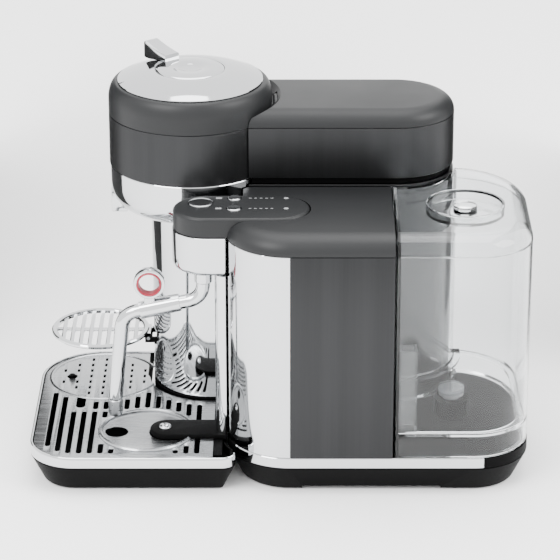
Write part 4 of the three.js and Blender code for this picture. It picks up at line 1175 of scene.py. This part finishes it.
def build_lid():
    front = TANK_LOW.y
    base, top = LID_LOW.z, LID_HIGH.z
    rise = top - base
    outer = []
    for i in range(13):
        a = i / 12 * math.pi / 2
        outer.append((18 * (1 - math.cos(a)), base + 0.4 + (rise - 0.4) * math.sin(a)))
    far_outline = (
        [(-75.0, front - 30), (NEAR, front - 30)]
        + arc(NEAR - TANK_R, TANK_HIGH.y - TANK_R, TANK_R, 0, 90, 48)
        + arc(5, TANK_HIGH.y - TANK_FAR_R, TANK_FAR_R, 90, 178, 48)
        + [(5 - TANK_FAR_R, 130), (-75.0, 130)]
    )
    body = swept("lid_shell", far_outline, [(0.3, base)] + outer)
    inside = []
    for i in range(13):
        a = i / 12 * math.pi / 2
        inside.append((2.5 + 15.5 * (1 - math.cos(a)), base - 1 + (rise - 1.5) * math.sin(a)))
    hollow = swept("tool", far_outline, [(2.5, base - 3)] + inside)
    carve(hollow, cylinder_tool(COLUMN_X, COLUMN_REAR, COLUMN_R + 3.7, 200, 260, 192))
    carve(hollow, room((-200, 200), (-50, front + 2.5), (200, 260)))
    carve(body, hollow)
    carve(body, cylinder_tool(COLUMN_X, COLUMN_REAR, COLUMN_R + 1.2, 200, 260, 192))
    carve(body, room((-200, 200), (-50, front), (200, 260)))
    carve(body, cylinder_tool(*KNOB, KNOB_ROOM + 1.2, top - 6, top + 5))
    ledge, sunk = top - 8.6, top - 10.8
    profile = [
        (0, sunk), (KNOB_ROOM + 1.4, sunk), (KNOB_ROOM + 2.3, top - 10), (KNOB_ROOM + 2.3, top - 0.2),
        (KNOB_ROOM + 0.6, top), (KNOB_ROOM, top - 0.6), (KNOB_ROOM, top - 7.8), (KNOB_ROOM - 0.8, ledge),
        (13, ledge), (10.4, top - 8.2), (10, top - 7.4), (10, top - 2.4),
        (9.6, top - 1.8), (8.6, top - 1.5), (0, top - 1.4),
    ]
    pocket = turned("pocket", profile, *KNOB, 128)
    stand_for(join("tank_clear_lid", body, pocket), "tank_lid")


# ---- cup support ----
def build_cup_support():
    low, high = span("cup_support")
    r = (high.x - low.x) / 2
    y = low.y + r
    z0, z1 = SUPPORT_LOW, SUPPORT_TOP
    rim = [
        (r - 5, z0), (r - 0.5, z0), (r, z0 + 0.6), (r, z1 - 0.9),
        (r - 0.9, z1), (r - 4.1, z1), (r - 5, z1 - 0.9),
    ]
    ring = turned("support_ring", rim, HEAD_X, y, 160, loop=True)
    pieces = [ring]
    for dy in range(-32, 33, 8):
        half = math.sqrt((r - 3) ** 2 - dy ** 2)
        slat_x, slat_y = (HEAD_X - half, HEAD_X + half), (y + dy - 1.9, y + dy + 1.9)
        pieces.append(box("slat", slat_x, slat_y, (z0 + 0.4, z1 - 0.7), edge=0.7))
    pieces.append(box("spine", (HEAD_X - 3, HEAD_X + 3), (y - r + 3, y + r - 3), (z0, z0 + 1.4), edge=0.3))
    pin_y, pin_z = middle("cup_support_pin")[1], sum(heights("cup_support_pin")) / 2
    x0, x1 = HEAD_X - 9, HEAD_X + 9
    tab = box("tab", (x0, x1), (y + r - 5, pin_y + 2.2), (pin_z + 0.4, z1 - 0.8), edge=0.5)
    knuckle = turned("knuckle", [(0, x0), (3.6, x0), (3.6, x1), (0, x1)], pin_y, pin_z, 48, axis="X")
    support = join("cup_support_chrome", *pieces, tab, knuckle)
    stand_for(support, "cup_support")
    dress(NODES["cup_support_bracket"], BLACK)
    dress(NODES["cup_support_pin"], STEEL)


INSIDE = {
    "jug_sensor_spring": STEEL,
    "control_board": BOARD,
    "spin_motor": GREY,
    "motor_pulley": BLACK,
    "spin_belt": RUBBER,
    "capsule_drawer": BLACK,
    "brew_heater": STEEL,
    "steam_heater": COPPER,
    "water_pump": GREY,
}

build_base()
build_tray()
build_grid()
build_jug_sensor()
build_block()
build_nose()
build_control_panel()
build_wand()
build_column()
build_arm()
build_head()
build_lever()
build_bowl()
build_tank()
build_lid()
build_cup_support()
for node, material in INSIDE.items():
    dress(NODES[node], material)


# ---- studio ----
def stage_sheet(name, corners, color):
    bm = bmesh.new()
    bm.faces.new([bm.verts.new(Vector(c)) for c in corners])
    mesh = bpy.data.meshes.new(name)
    bm.to_mesh(mesh)
    bm.free()
    obj = bpy.data.objects.new(name, mesh)
    bpy.context.scene.collection.objects.link(obj)
    obj.data.materials.append(Look(name, color, 0.6, 0.0).material)
    return obj


stage_sheet("floor", [(-6, -6, 0), (6, -6, 0), (6, 6, 0), (-6, 6, 0)], (0.93, 0.93, 0.93))
# Black cards beside the machine give the chrome its dark edges. The camera sees neither.
for side in (-1, 1):
    y = 0.36 * side
    corners = [(-0.7, y, 0.001), (-0.12, y, 0.001), (-0.12, y, 0.6), (-0.7, y, 0.6)]
    card = stage_sheet("card_left" if side < 0 else "card_right", corners, (0.004, 0.004, 0.004))
    card.visible_camera = False


def area_light(name, location, target, size, size_y, power):
    light = bpy.data.lights.new(name, "AREA")
    light.shape = "RECTANGLE"
    light.size = size
    light.size_y = size_y
    light.energy = power
    obj = bpy.data.objects.new(name, light)
    bpy.context.scene.collection.objects.link(obj)
    obj.location = location
    obj.rotation_euler = (Vector(target) - Vector(location)).to_track_quat("-Z", "Y").to_euler()


area_light("key", (1.6, -1.6, 2.4), (0, 0, 0.15), 1.6, 1.6, 110)
area_light("rear", (0.6, 2.0, 1.9), (0, 0.1, 0.15), 1.4, 1.4, 60)
area_light("top", (-0.4, 0, 2.8), (0, 0, 0.1), 2.2, 2.2, 80)

world = bpy.data.worlds.new("studio")
world.use_nodes = True
world.node_tree.nodes["Background"].inputs["Color"].default_value = (1, 1, 1, 1)
world.node_tree.nodes["Background"].inputs["Strength"].default_value = 2.5
bpy.context.scene.world = world

camera_data = bpy.data.cameras.new("camera")
camera_data.sensor_width = 36
camera_data.lens = 185.66
camera_data.shift_x = -0.0179
camera_data.clip_end = 50
camera = bpy.data.objects.new("camera", camera_data)
camera.location = (2.316, 0.0097, 1.116)
camera.rotation_euler = (math.radians(67.3), 0, math.radians(90))
bpy.context.scene.collection.objects.link(camera)
bpy.context.scene.camera = camera
